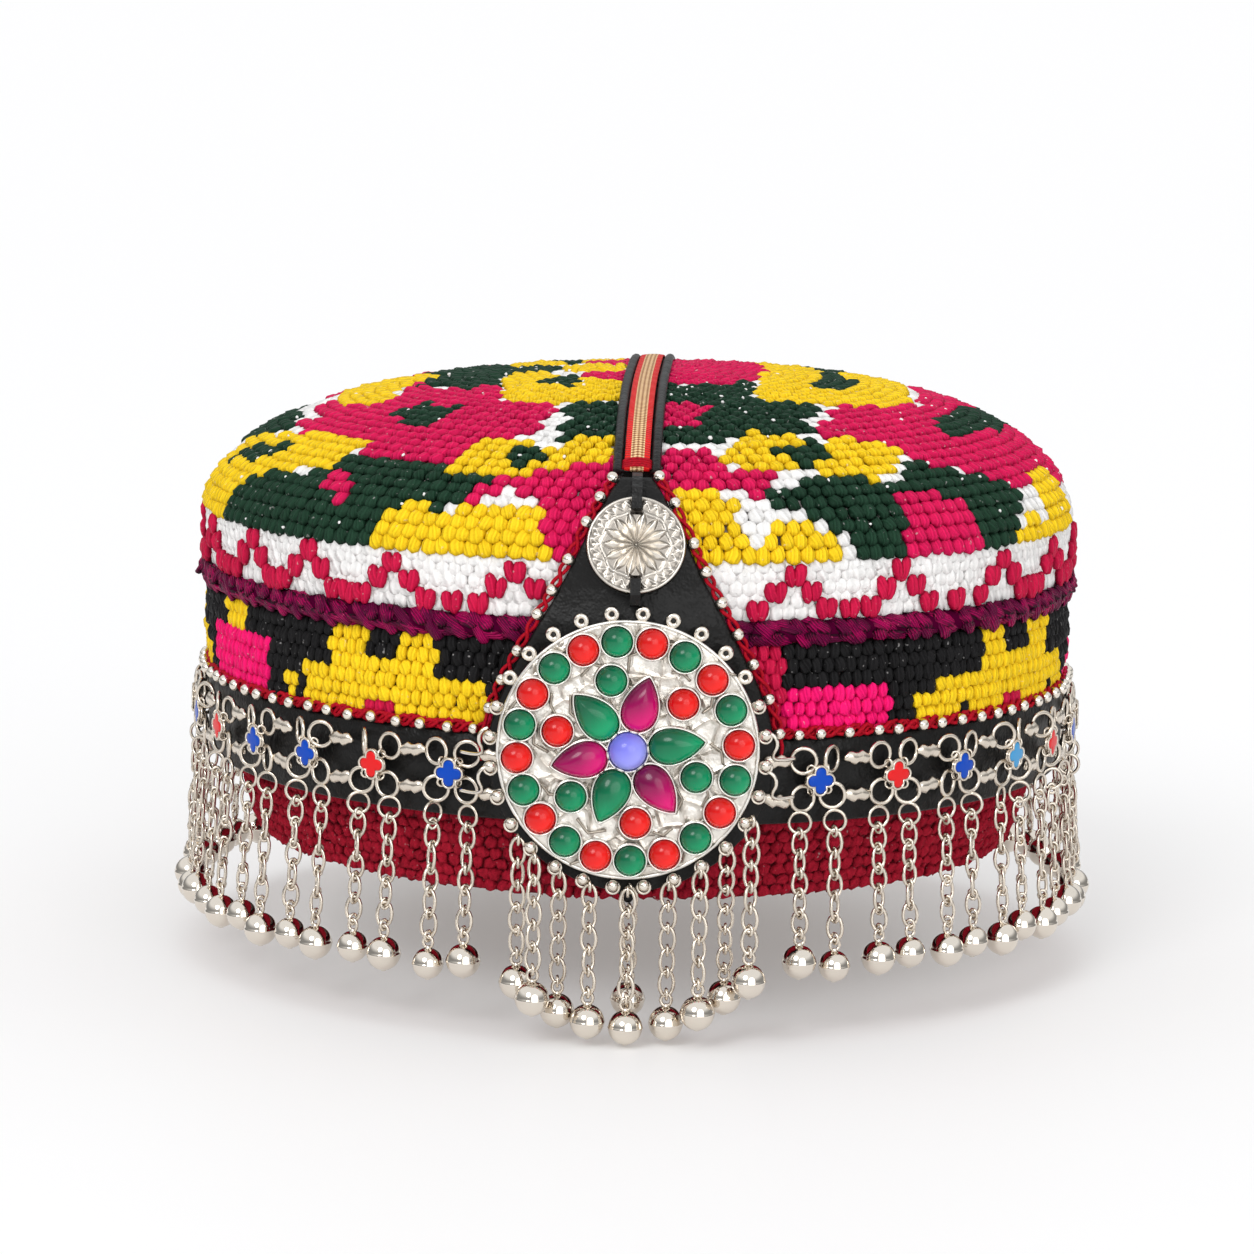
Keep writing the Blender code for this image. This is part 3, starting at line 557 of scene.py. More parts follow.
# The bundles' lanes: degrees round the roll from its outer side, slant in radians, bundles
ROLL_LANES = ((-62.0, -0.45, 118), (-8.0, -0.85, 112), (50.0, -0.6, 116))
roll = Finish("plum_thread", (0.12, 0.004, 0.035), 0.5, Specular_IOR_Level=0.12)
x, y, z = roll.parts(roll.attribute("stitch"))
shade = roll.attribute("shade", "Fac")
threads = ((x + (y * 1.1 + shade * 7.0).math("SINE") * 0.2) * 20.0 + shade * 5.0).math("SINE")
hue = roll.noise(roll.place(), 230.0, 3.0)
warm = roll.node("MapRange", Value=hue + threads * 0.06 + shade * 0.16, From_Min=0.52, From_Max=0.74)
base = roll.mix(warm, (0.15, 0.0005, 0.048), (0.50, 0.001, 0.11))
# Painted shade: the bundles' sides and the grooves between their threads darken to a deep plum
side = roll.node("MapRange", Value=z + threads * 0.16, From_Min=-0.1, From_Max=0.65)
lit = roll.mix(side, (0.022, 0.0007, 0.009), base)
# Painted glints: pale pink specks from fine noise, mixed into the base colour and the bump
roll_glints = roll.node("MapRange", Value=roll.noise(roll.place(), 1300.0, 1.0), From_Min=0.70, From_Max=0.76)
roll.set("Base Color", roll.mix(roll_glints * 0.5, lit, (0.75, 0.10, 0.22)))
roll.bump(threads + roll_glints, 0.85, 0.35)
lanes = []
for girth_deg, slant, count in ROLL_LANES:
    girth = math.radians(girth_deg)
    angle = 2 * np.pi * (np.arange(count) + rng.normal(0, 0.18, count)) / count
    away, round_way, up = directions(angle)
    out = math.cos(girth) * away + math.sin(girth) * up
    centre = ROLL_CIRCLE * away + ROLL_Z * up + ROLL_THICK * out
    turn = (slant + rng.normal(0, 0.22, count))[:, None]
    along = round_way * np.cos(turn) + np.cross(out, round_way) * np.sin(turn)
    lanes.append((centre, np.cross(along, out), along, out, angle, 0 * angle, 0 * angle + 1))
lanes = [np.concatenate(column) for column in zip(*lanes)]
stitches(
    "braid_roll_thread", lanes, np.ones(len(lanes[4]), bool), (1.8, 3.9, 1.35), roll.made,
    "plum_yarn", lump(10, 6, 0.1, 0.8), sink=0.45, lean=0.1, rough=0.07,
)
core = Finish("plum_core", (0.06, 0.001, 0.020), 0.8, Specular_IOR_Level=0.0).made
turn = full_turn(12)
profile = np.stack([ROLL_CIRCLE + ROLL_CORE * np.cos(turn), ROLL_Z + ROLL_CORE * np.sin(turn)], -1)
build("braid_roll_core", *lathe(profile, 200), core, "plum_yarn", ["braid_roll"])

# Side band
# The crocheted band under the roll: small upright stitches in black, yellow, hot pink and crimson,
# worked round in six rows on a thin backing.
SIDE_ROWS_Z = (56.1, 53.0, 49.9, 46.8, 43.7, 40.6)
SIDE_RADII = (100.6, 100.9, 101.1, 101.1, 100.8, 100.2)
SIDE_SECTION = (
    (97.2, 57.5), (97.2, 38.6), (99.2, 38.6), (100.3, 43.0), (100.6, 50.0), (100.0, 57.5),
)
SIDE_STITCH_WIDTH = 2.75
MOTIF_DEG, LEFT_MOTIF_DEG, RIGHT_MOTIF_DEG = 60, -33.5, 57.0
side_places = stitch_rows(SIDE_RADII, SIDE_ROWS_Z, [(0, 1)] * 6, SIDE_STITCH_WIDTH)
side_deg = np.degrees(side_places[4])
side_deg = np.where(side_deg > 180, side_deg - 360, side_deg)
row, left = side_places[5], side_deg < 0
motif_deg = np.where(left, LEFT_MOTIF_DEG, RIGHT_MOTIF_DEG)
away = np.abs((side_deg - motif_deg + MOTIF_DEG / 2) % MOTIF_DEG - MOTIF_DEG / 2)
# A yellow motif, wide at the foot and forked at the top, then hot pink between the motifs
yellow = (row >= 4) & (away < np.where(left, 17.0, 19.5))
yellow |= (row == 3) & (away < np.where(left, 15.5, 17.0))
yellow |= (row == 2) & (away < 8.5)
yellow |= (row <= 1) & (away > np.where(left, 2.3, 3.2)) & (away < 8.0)
pink = (away > np.where(left, 21.0, 24.0)) | ((side_deg > 18.0) & (side_deg < 27.0))
pink &= row >= np.where(left, 2, 3)
# A yellow patch high on each side, and one black stitch down the left motif
patch = (np.abs(side_deg) > 61.0) & (np.abs(side_deg) < 67.5) & (row <= 1)
yellow = (yellow & (np.abs(side_deg + 47.5) > 0.8)) | patch
# Crimson under each fork, down the panel's right edge and beside its left edge
crimson = (away < 2.2) & (row == 5)
crimson |= (side_deg > 12.5) & (side_deg < 18.6)
crimson |= (row >= 4) & (np.abs(side_deg + 17.6) < 1.1)
tucked = (row == 5) & (rng.random(len(side_deg)) < 0.05)
side_colour = np.full(len(side_deg), "black", dtype="<U8")
for colour, where in (("yellow", yellow), ("pink", pink & ~yellow), ("black", tucked), ("crimson", crimson)):
    side_colour[where] = colour
side_shown = ~behind_leather(side_places[0], 20.5, 57, 0.38)
SIDE_STITCH = lump(taper=0.05, flat=0.9)
for colour in ("black", "yellow", "pink", "crimson"):
    finish = yarn(f"{colour}_side_yarn", YARN[colour], ply=4.0, shade_tone=GAP_SHADE_TONE.get(colour, 0.35))
    stitches(
        f"side_{colour}_stitches", side_places, (side_colour == colour) & side_shown, (0.62, 2.1, 1.45),
        finish, "band_yarn", SIDE_STITCH, lean=0.12, rough=0.08, pitch=0.12,
    )
side_shell = Finish("side_backing", (0.03, 0.02, 0.02), 0.9)
weave = side_shell.node("TexVoronoi", Vector=side_shell.place(), Scale=420.0, Randomness=0.6)
side_shell.set("Base Color", side_shell.mix(weave, (0.035, 0.02, 0.02), (0.01, 0.008, 0.008)))
side_shell.bump(weave, 0.5, 0.5)
build("side_band_shell", *lathe(SIDE_SECTION, 144), side_shell.made, "band_yarn", ["side_band"])

# Headband
# The crimson band round the head: loose fuzzy knitting that narrows towards its lower edge. Its
# stitches are short and lean every way, and its upper edge is tucked under the leather belt.
HEAD_FROM_Z, HEAD_TO_Z, HEAD_ROW, HEAD_STITCH_WIDTH = 1.2, 20.5, 2.55, 2.9
HEAD_LINE_Z, HEAD_LINE_R = (0, 3, 18.5, 22.5), (88.3, 89.7, 94.3, 98.0)
# The plain wall behind the stitches, up its outer side and down its inner one: radius, height
HEAD_SECTION = (
    (86.8, 0.0), (88.2, 0.0), (89.4, 3.5), (94.2, 18.5), (98.0, 22.5), (98.3, 38.2),
    (95.0, 38.2), (93.5, 24.0), (86.3, 2.0),
)
head_z = np.arange(HEAD_FROM_Z, HEAD_TO_Z, HEAD_ROW)
head_r = np.interp(head_z, HEAD_LINE_Z, HEAD_LINE_R)
head_slope = unit(np.stack([np.gradient(head_r, head_z), np.ones_like(head_z)], -1))
head_places = stitch_rows(head_r, head_z, head_slope, HEAD_STITCH_WIDTH)
head_yarn = yarn("headband_yarn", YARN["wine"], ply=3.0, fuzz=2.6, roughness=0.85, shade_tone=0.4)
stitches(
    "headband_stitches", head_places, np.ones(len(head_places[4]), bool), (0.56, 1.75, 1.3),
    head_yarn, "crimson_yarn", lump(8, 3, taper=0.3, flat=0.85), lean=0.8, rough=0.2,
)
head_shell = Finish("headband_backing", (0.16, 0.004, 0.012), 0.95)
weave = head_shell.noise(head_shell.place(), 700.0, 4.0)
head_shell.set("Base Color", head_shell.mix(weave, (0.07, 0.001, 0.005), (0.30, 0.006, 0.022)))
head_shell.bump(weave, 0.9, 0.8)
build("headband_shell", *lathe(HEAD_SECTION, 144), head_shell.made, "crimson_yarn", ["headband"])

# Leather belt
# A band of black leather with softly rounded edges, cut in one strip and sewn on over the top of
# the headband.
BELT_Z = (18.5, 37.0)


def leather(name, tint=(0.011, 0.0105, 0.0105)):
    """Black leather: a fine pebble grain, soft creases and a dull polish on the high parts."""
    made = Finish(name, tint, 0.5, Specular_IOR_Level=0.2)
    place = made.place()
    grain = made.node("TexVoronoi", Vector=place, Scale=1500.0)
    creases = made.noise(place, 55.0, 5.0, 0.62)
    soft = made.noise(place, 160.0, 3.0)
    made.set("Roughness", creases * 0.35 + 0.22)
    made.set("Base Color", made.mix(soft, (0.003, 0.0028, 0.0028), (0.012, 0.0115, 0.011)))
    made.bump(creases * 2.6 + soft * 0.8 + grain * 0.10, 0.8, 0.9)
    return made.made


black_leather = leather("black_leather")
low, high = BELT_Z
profile = [(99.0, low + 0.4), (99.4, low), (100.5, low), (100.95, low + 0.45), (101.05, low + 4)]
profile += [(101.05, high - 4), (100.95, high - 0.45), (100.5, high), (99.4, high), (99.0, high - 0.4)]
build("belt_leather", *lathe(profile, 180), black_leather, "black_leather", ["leather_belt"])

# Bead row
# Round silver beads sewn along the top of the belt, with a crimson thread that loops between them
# and holds each one down.
BEAD_COUNT, BEAD_RADIUS, BEAD_CIRCLE, BEAD_Z = 100, 1.38, 102.2, 38.2


def silver(name, tint=(0.82, 0.755, 0.665), roughness=0.16, wear=0.12, scale=260.0):
    """Warm silver, rubbed in places: small smears in the polish, duller and darker where they lie."""
    made = Finish(name, tint, roughness, 1.0)
    smear = made.noise(made.place(), scale, 4.0)
    dull = made.node("MapRange", Value=smear, From_Min=0.35, From_Max=0.7, To_Max=wear)
    made.set("Roughness", dull + roughness)
    made.set("Base Color", made.mix(dull * 2.2, tint, tuple(0.62 * channel for channel in tint)))
    made.bump(smear, 0.12, 0.15)
    return made.made


def ball(sides=12, rings=7, radius=1.0):
    """A closed ball with its poles along z."""
    lat = np.pi * np.arange(1, rings + 1) / (rings + 1)
    turn = 2 * np.pi * np.arange(sides) / sides
    x, y = np.sin(lat)[:, None] * np.cos(turn), np.sin(lat)[:, None] * np.sin(turn)
    z = -np.cos(lat)[:, None] * np.ones(sides)
    points, faces = capped(np.stack([x, y, z], -1), [0, 0, -1.0], [0, 0, 1.0])
    return points * radius, faces


def around(degrees, circle, z):
    """Places on a circle round the cap, from the front, positive to the right."""
    angle = np.radians(degrees)
    return np.stack([circle * np.sin(angle), -circle * np.cos(angle), z + 0 * angle], -1)


def tubes(paths, up, radius, sides=6, closed=False):
    """Round wire along each of many paths of equal length. Up is a vector per path that no
    stretch of it is parallel to. Open ends close in a point."""
    paths = np.asarray(paths, float)
    count, length = paths.shape[:2]
    ahead, behind = np.roll(paths, -1, 1), np.roll(paths, 1, 1)
    if not closed:
        ahead[:, -1], behind[:, 0] = paths[:, -1], paths[:, 0]
    tangent = unit(ahead - behind)
    up = np.broadcast_to(np.asarray(up, float).reshape(-1, 1, 3), paths.shape)
    side = unit(np.cross(up, tangent))
    top = np.cross(tangent, side)
    turn = 2 * np.pi * np.arange(sides) / sides
    wire = np.broadcast_to(np.asarray(radius, float), (count, length))[..., None, None]
    circle = np.cos(turn)[:, None] * side[:, :, None] + np.sin(turn)[:, None] * top[:, :, None]
    rings = (paths[:, :, None] + wire * circle).reshape(count, -1, 3)
    if closed:
        points, faces = rings, [grid_faces(length, sides, True, True)]
    else:
        points = np.concatenate([rings, paths[:, :1], paths[:, -1:]], 1)
        faces = turn_faces(length, sides)
    step = points.shape[1] * np.arange(count)[:, None, None]
    faces = [(face[None] + step).reshape(-1, face.shape[1])[:, ::-1] for face in faces]
    return points.reshape(-1, 3), faces


def merged(*parts):
    """Several (points, faces) as one."""
    points, faces, start = [], [], 0
    for some_points, some_faces in parts:
        points.append(some_points)
        faces += [face + start for face in some_faces]
        start += len(some_points)
    return np.concatenate(points), faces


def copies(template, centres, axes=None, sizes=None):
    """Copies of a template at centres, along the x, y and z axes of the cap if none are given."""
    count = len(centres)
    if axes is None:
        axes = [np.tile(row, (count, 1)) for row in np.eye(3)]
    if sizes is None:
        sizes = np.ones((count, 3))
    return scatter(template, np.asarray(centres, float), *axes, np.asarray(sizes, float))


def panel_clear(points, margin):
    """Whether places clear the front panel."""
    half = np.interp(-points[:, 2], -PANEL_Z, PANEL_HALF)
    return (points[:, 1] > 0) | (np.abs(points[:, 0] - PANEL_X) > half + margin)


# The panel from its tip down its middle: distance from the axis, height, half width
PANEL_ROWS = (
    (91.3, 91.4, 3.6), (94.9, 88.5, 5.8), (97.9, 85.4, 7.7), (100.3, 81.9, 9.8), (101.5, 79.0, 11.4),
    (102.0, 75.8, 13.0), (102.1, 70.0, 15.9), (102.7, 66.0, 17.9), (103.7, 62.6, 20.0),
    (103.7, 58.5, 22.4), (102.9, 51.0, 26.3), (102.0, 44.0, 29.2), (101.5, 36.0, 31.2),
    (101.5, 26.0, 30.2), (101.5, 17.0, 25.6), (101.5, 10.5, 18.6), (101.5, 6.5, 11.0),
    (101.5, 4.3, 2.2), (101.5, 2.2, 0.6),
)
PANEL_R, PANEL_Z, PANEL_HALF = np.array(PANEL_ROWS).T
bead_silver = silver("bead_silver", roughness=0.14)
bead_deg = (np.arange(BEAD_COUNT) + 0.5) * 360 / BEAD_COUNT + rng.normal(0, 0.18, BEAD_COUNT)
beads = around(bead_deg, BEAD_CIRCLE, BEAD_Z) + rng.normal(0, 0.12, (BEAD_COUNT, 3))
beads = beads[panel_clear(beads, 1.2)]
build("belt_beads", *copies(ball(12, 7, BEAD_RADIUS), beads), bead_silver, "silver")
thread = Finish("crimson_thread", (0.42, 0.006, 0.02), 0.6, Specular_IOR_Level=0.1)
fibre = thread.noise(thread.place(), 1800.0, 2.0)
thread.set("Base Color", thread.mix(fibre, (0.10, 0.001, 0.004), (0.62, 0.004, 0.022)))
thread.bump(fibre, 0.6, 0.2)
thread = thread.made
steps = BEAD_COUNT * 7
loop_deg = np.arange(steps) * 360 / steps
loops = []
for phase, bulge in ((0.0, -0.5), (np.pi, -0.5), (np.pi / 2, -1.0), (-np.pi / 2, -1.1)):
    wave = BEAD_COUNT * np.radians(loop_deg) + phase
    wobble = 0.25 * np.sin(37 * np.radians(loop_deg) + phase)
    path = around(loop_deg, BEAD_CIRCLE - 0.4 + bulge + 0.3 * np.cos(wave), 0 * loop_deg)
    path[:, 2] = BEAD_Z + 0.2 + 1.0 * np.sin(wave) + wobble
    loops.append(path)
build("belt_bead_thread", *tubes(loops, (0, 0, 1), 0.46, 6, True), thread, "crimson_yarn")

# Leather panel
# The stiff black leather panel down the front, pointed where the strap meets it and round at the
# bottom, with silver beads and crimson thread sewn along its edge.
PANEL_THICK = 2.0


def panel_surface(s, across, lift):
    """A place on the panel: s millimetres down its middle, across in millimetres from the middle
    and lift millimetres out from its inner face."""
    r, z = np.interp(s, panel_s, PANEL_R), np.interp(s, panel_s, PANEL_Z)
    down_r = np.interp(s + 1.5, panel_s, PANEL_R) - np.interp(s - 1.5, panel_s, PANEL_R)
    down_z = np.interp(s + 1.5, panel_s, PANEL_Z) - np.interp(s - 1.5, panel_s, PANEL_Z)
    norm = np.hypot(down_r, down_z) + 1e-9
    r, z = r - down_z / norm * lift, z + down_r / norm * lift
    y = -np.sqrt(np.maximum(r**2 - across**2, 1.0))
    x = PANEL_X + across
    return np.stack(np.broadcast_arrays(x, y, z + crown_lift(z, x)), -1)


panel_s = np.concatenate([[0], np.cumsum(np.hypot(np.diff(PANEL_R), np.diff(PANEL_Z)))])
stations = np.linspace(0, panel_s[-1], 120)
half = np.interp(stations, panel_s, PANEL_HALF)[:, None]
corner = np.minimum(0.7, half * 0.4)
top_x = (half - corner) * np.linspace(1, -1, 26)
near = half - 0.15 * corner
# Across the panel: down its rounded right edge, over the face, and back under it
section_x = [half, near, top_x, -near, -half, -half, corner - half, half - corner, half]
section_x = np.concatenate(section_x, 1)
section_h = [1.2, 1.75, *[PANEL_THICK] * 26, 1.75, 1.2, 0.4, 0.0, 0.0, 0.4]
section_h = np.broadcast_to(np.array(section_h), section_x.shape)
points = panel_surface(stations[:, None], section_x, section_h)
points, faces = capped(points, *panel_surface(stations[[0, -1]], np.zeros(2), np.ones(2)))
faces = [face[:, ::-1] for face in faces]
build("panel_leather", points, faces, black_leather, "black_leather", ["leather_shield"])
# Beads stand just outside the panel's edge, at these distances down it in millimetres
LEFT_BEADS = (8.7, 14.2, 20.1, 27.4, 34.2, 39.8, 47.1, 53.6, 60.2)
RIGHT_BEADS = (7.2, 15.6, 24.0, 29.4, 36.4, 42.8, 49.1, 56.9, 64.8)
PATH_START, PATH_END, EDGE_GAP, EDGE_BEAD_RADIUS, EDGE_WAVE = 8.2, 64.0, 1.3, 1.38, 0.8
edge_beads, edge_loops = [], []
for side, places in ((-1, LEFT_BEADS), (1, RIGHT_BEADS)):
    s = np.maximum(np.array(places) - PATH_START, 0.0)
    edge = side * (np.interp(s, panel_s, PANEL_HALF) + EDGE_GAP)
    edge_beads.append(panel_surface(s, edge, np.full(len(s), 2.2)))
    fine = np.linspace(s[0], PATH_END, 150)
    edge = side * (np.interp(fine, panel_s, PANEL_HALF) + EDGE_GAP)
    for phase in (0.0, np.pi):
        wave = np.interp(fine, s, 2 * np.pi * np.arange(len(s))) + phase
        loop = panel_surface(fine, edge + EDGE_WAVE * np.sin(wave), 1.5 + 0.3 * np.cos(wave))
        edge_loops.append(loop)
points, faces = copies(ball(12, 7, EDGE_BEAD_RADIUS), np.concatenate(edge_beads))
build("panel_beads", points, faces, bead_silver, "silver")
build("panel_bead_thread", *tubes(edge_loops, (0, -1, 0.3), 0.42, 6), thread, "crimson_yarn")

# Strap and ribbon
# A black leather strap with fat rolled edges, laid over the dome from the panel to the belt, and a
# woven red and gold ribbon sewn along it and whipped with thread at its front end.
RIBBON_HALF, EDGE_ROLL, EDGE_ROLL_X, EDGE_ROLL_LIFT = 2.7, 1.1, 4.15, 1.45
# The strap's way down the back, from the crease to the belt: distance from the axis, height
STRAP_BACK = ((101.7, 75.8), (101.8, 70.0), (102.4, 66.0), (103.4, 62.6), (103.4, 58.5), (102.6, 51.0),
              (101.9, 44.0), (101.4, 36.2))
dome_y = np.linspace(-0.882, 0.99, 260) * CROWN_RADIUS
dome_at = dome(dome_y / CROWN_RADIUS)
strap_y = np.concatenate([dome_y, [row[0] for row in STRAP_BACK]])
strap_z = np.concatenate([dome_at, [row[1] for row in STRAP_BACK]])
strap_s = np.concatenate([[0], np.cumsum(np.hypot(np.diff(strap_y), np.diff(strap_z)))])
strap_steps = np.linspace(0, strap_s[-1], 300)
smooth = np.linspace(-2.5, 2.5, 11)
strap_y, strap_z = (
    np.mean([np.interp(strap_steps + shift, strap_s, line) for shift in smooth], 0)
    for line in (strap_y, strap_z)
)
along_y, along_z = np.gradient(strap_y), np.gradient(strap_z)
norm = np.hypot(along_y, along_z)
normal_y, normal_z = -along_z / norm, along_y / norm


def strap_strip(across, lift):
    """Rows of points along the strap for a closed section: across and lift in millimetres."""
    x = strap_centre(strap_y)[:, None] + across
    y = strap_y[:, None] + normal_y[:, None] * lift
    z = strap_z[:, None] + normal_z[:, None] * lift
    return np.stack([x, y, z + crown_lift(z, x)], -1)


# Across the strap: its two rolled edges, the base between them and the bed of the ribbon
turn = np.linspace(-2.1, 2.6, 9)[::-1]
edge_x, edge_lift = EDGE_ROLL_X + EDGE_ROLL * np.cos(turn), EDGE_ROLL_LIFT + EDGE_ROLL * np.sin(turn)
right_edge = np.stack([edge_x, edge_lift], -1)
bed = np.array([[3.0, 1.35], [0.0, 1.4], [-3.0, 1.35]])
left_edge = right_edge[::-1] * [-1, 1]
base = np.array([[-2.6, 0.35], [2.6, 0.35]])
section = np.concatenate([left_edge, base, right_edge[::-1], bed])
points = strap_strip(section[:, 0], section[:, 1])
points, faces = capped(points, *points[[0, -1]].mean(1))
build("strap_leather", points, faces, black_leather, "black_leather", ["crown_strap"])
ribbon = Finish("woven_ribbon", (0.6, 0.02, 0.02), 0.5, Specular_IOR_Level=0.2)
across, along, _ = ribbon.parts(ribbon.attribute("weave"))
middle = across.math("ABSOLUTE")
cords = (across * 3.3).math("SINE").math("ABSOLUTE")
zigzag = (along * 6.2 + middle * 1.2).math("SINE")
ribs = (along * 7.0 + across * 1.5).math("SINE")
gold = ribbon.mix(zigzag * 0.45 + cords * 0.75, (0.30, 0.09, 0.02), (1.0, 0.70, 0.38))
scarlet = ribbon.mix(ribs * 0.5 + 0.5, (0.42, 0.002, 0.003), (0.86, 0.008, 0.006))
ribbon.set("Base Color", ribbon.mix(middle < 1.45, scarlet, gold))
ribbon.set("Metallic", (middle < 1.45) * 0.35)
ribbon.bump(cords * (middle < 1.45) + zigzag * 0.4 + ribs * 0.25, 0.8, 0.3)
lanes = np.linspace(RIBBON_HALF, -RIBBON_HALF, 15)
section = np.concatenate([np.stack([lanes, 2.15 + 0.35 * np.cos(lanes / RIBBON_HALF * 1.3)], -1),
                          [[-RIBBON_HALF, 1.75], [RIBBON_HALF, 1.75]]])
points = strap_strip(section[:, 0], section[:, 1])
weave = np.stack([np.broadcast_to(section[:, 0], points.shape[:2]),
                  np.broadcast_to(strap_steps[:, None], points.shape[:2]),
                  np.zeros(points.shape[:2])], -1).reshape(-1, 3)
weave = np.concatenate([weave, [[0, 0, 0], [0, strap_steps[-1], 0]]])
points, faces = capped(points, *points[[0, -1]].mean(1))
build("ribbon_weave", points, faces, ribbon.made, "red_ribbon", ["strap_ribbon"], weave=weave)
# The dark red thread that is wound round the ribbon's front end, above the panel's tip
WHIP_TURNS = 4
turn = full_turn(28)
whips = []
for index in range(WHIP_TURNS):
    step = 2 + index
    x = strap_centre(strap_y[step]) + 3.0 * np.cos(turn)
    lift = 1.55 + 1.05 * np.sin(turn)
    y = strap_y[step] + normal_y[step] * lift
    z = strap_z[step] + normal_z[step] * lift
    whips.append(np.stack([x, y, z + crown_lift(z, x)], -1))
build("strap_whipping", *tubes(whips, (0, 1, 0.2), 0.36, 6, True), thread, "crimson_yarn")

# Star disc
# A small silver disc struck with rays inside an ornamental border. Two leather tabs that pass
# through its slots hold it on the panel.
DISC_AT, DISC_TILT = np.array([-0.7, -103.8, 79.6]), math.radians(20.0)
DISC_RADIUS, DISC_RAYS, DISC_TEETH, DISC_MIDDLE = 10.7, 14, 26, 1.6


def on_disc(x, z, out):
    """Places on the tilted disc: x right and z up its face from the middle, out from its back."""
    x, z, out = (item[..., None] for item in np.broadcast_arrays(x, z, out))
    up = np.array([0, math.sin(DISC_TILT), math.cos(DISC_TILT)])
    ahead = np.array([0, -math.cos(DISC_TILT), math.sin(DISC_TILT)])
    return DISC_AT + x * np.array([1.0, 0, 0]) + z * up + out * ahead


def coin(place, rho, phi, height, back_rho, middle):
    """A closed disc in rings of radius rho: a front with a height at each place, a flat back, and
    a pole in the middle of each."""
    back_rho = np.array(back_rho)[:, None]
    front = place(rho * np.sin(phi), rho * np.cos(phi), height).reshape(-1, 3)
    back = place(back_rho * np.sin(phi), back_rho * np.cos(phi), 0).reshape(-1, 3)
    faces = turn_faces(len(rho) + len(back_rho), phi.size)
    points = np.concatenate([front, back, place([0, 0], [0, 0], [middle, 0])])
    return points, [face[:, ::-1] for face in faces]


rho = np.concatenate([np.linspace(0.25, 9.9, 38), np.linspace(10.05, DISC_RADIUS, 5)])[:, None]
phi = full_turn(252)[None, :]
# Heights above the disc's back: the rays, the line round them, a zigzag with dots, and the edge
saw = np.abs((phi * DISC_RAYS / (2 * np.pi)) % 1.0 - 0.5) * 2
reach = 7.3 - 2.4 * saw
ray = np.clip((reach - rho) / 0.5, 0, 1) * (0.95 - 0.95 * saw) * np.clip(rho / 2.6, 0.3, 1)
frame_line = np.exp(-(((rho - 7.25 - 0.25 * np.cos(8 * phi)) / 0.22) ** 2)) * 0.28
teeth = np.abs((phi * DISC_TEETH / (2 * np.pi)) % 1.0 - 0.5) * 4 - 1
zigzag = np.exp(-(((rho - 8.6 - 0.65 * teeth) / 0.2) ** 2)) * 0.24
dots = np.cos(phi * DISC_TEETH) * np.exp(-(((rho - 9.45) / 0.3) ** 2)) * 0.14
edge = np.clip((rho - 9.85) / 0.25, 0, 1) * 0.30
height = 1.15 + ray + frame_line + zigzag + dots + edge
height = height - 1.2 * np.clip((rho - 10.3) / 0.4, 0, 1) ** 2
across, upward = np.abs(rho * np.sin(phi)), np.abs(rho * np.cos(phi))
height = np.where((across < 1.05) & (upward > 6.9) & (upward < 9.6), 0.35, height)
disc_silver = Finish("disc_silver", (0.72, 0.68, 0.62), 0.26, 1.0)
low = disc_silver.attribute("height", "Fac")
patina = disc_silver.node("MapRange", Value=low, From_Min=1.0, From_Max=1.55)
grime = disc_silver.noise(disc_silver.place(), 500.0, 3.0)
disc_silver.set("Base Color", disc_silver.mix(patina, (0.16, 0.14, 0.12), (0.74, 0.69, 0.62)))
disc_silver.set("Roughness", grime * 0.25 + 0.16)
disc_silver.bump(grime, 0.15, 0.2)
points, faces = coin(on_disc, rho, phi, height, (10.4, 6.0), DISC_MIDDLE)
high = np.concatenate([height.reshape(-1), np.ones(2 * phi.size), [DISC_MIDDLE, 0.5]])
build("disc_face", points, faces, disc_silver.made, "silver", ["star_disc"], height=high)
for name in ("disc_tab_upper", "disc_tab_lower"):
    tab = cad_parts[name].data
    tab.materials.clear()
    tab.materials.append(black_leather)

# Medallion
# A round plate of thin crinkled silver that carries the stones, sewn on over the panel, with its
# own rim soldered round it.
MEDAL = np.array([-1.6, -106.2, 36.2])
PLATE_RADIUS, PLATE_FRONT, RIM_RADIUS, RIM_WIRE = 27.4, 1.6, 27.7, 0.42
medal_silver = silver("medallion_silver", (0.84, 0.81, 0.76), 0.2, 0.2, 420.0)


def on_medal(x, z, out):
    """Places on the medallion: x right and z up from its middle, out from its back."""
    x, z, out = np.broadcast_arrays(x, z, out)
    return np.stack([MEDAL[0] + x, MEDAL[1] - out, MEDAL[2] + z], -1)


foil = Finish("crinkled_silver", (0.86, 0.84, 0.80), 0.24, 1.0)
place = foil.place()
folds = foil.node("TexVoronoi", {"feature": "DISTANCE_TO_EDGE"}, Vector=place, Scale=170.0)
fine = foil.noise(place, 420.0, 5.0, 0.65)
broad = foil.noise(place, 130.0, 3.0)
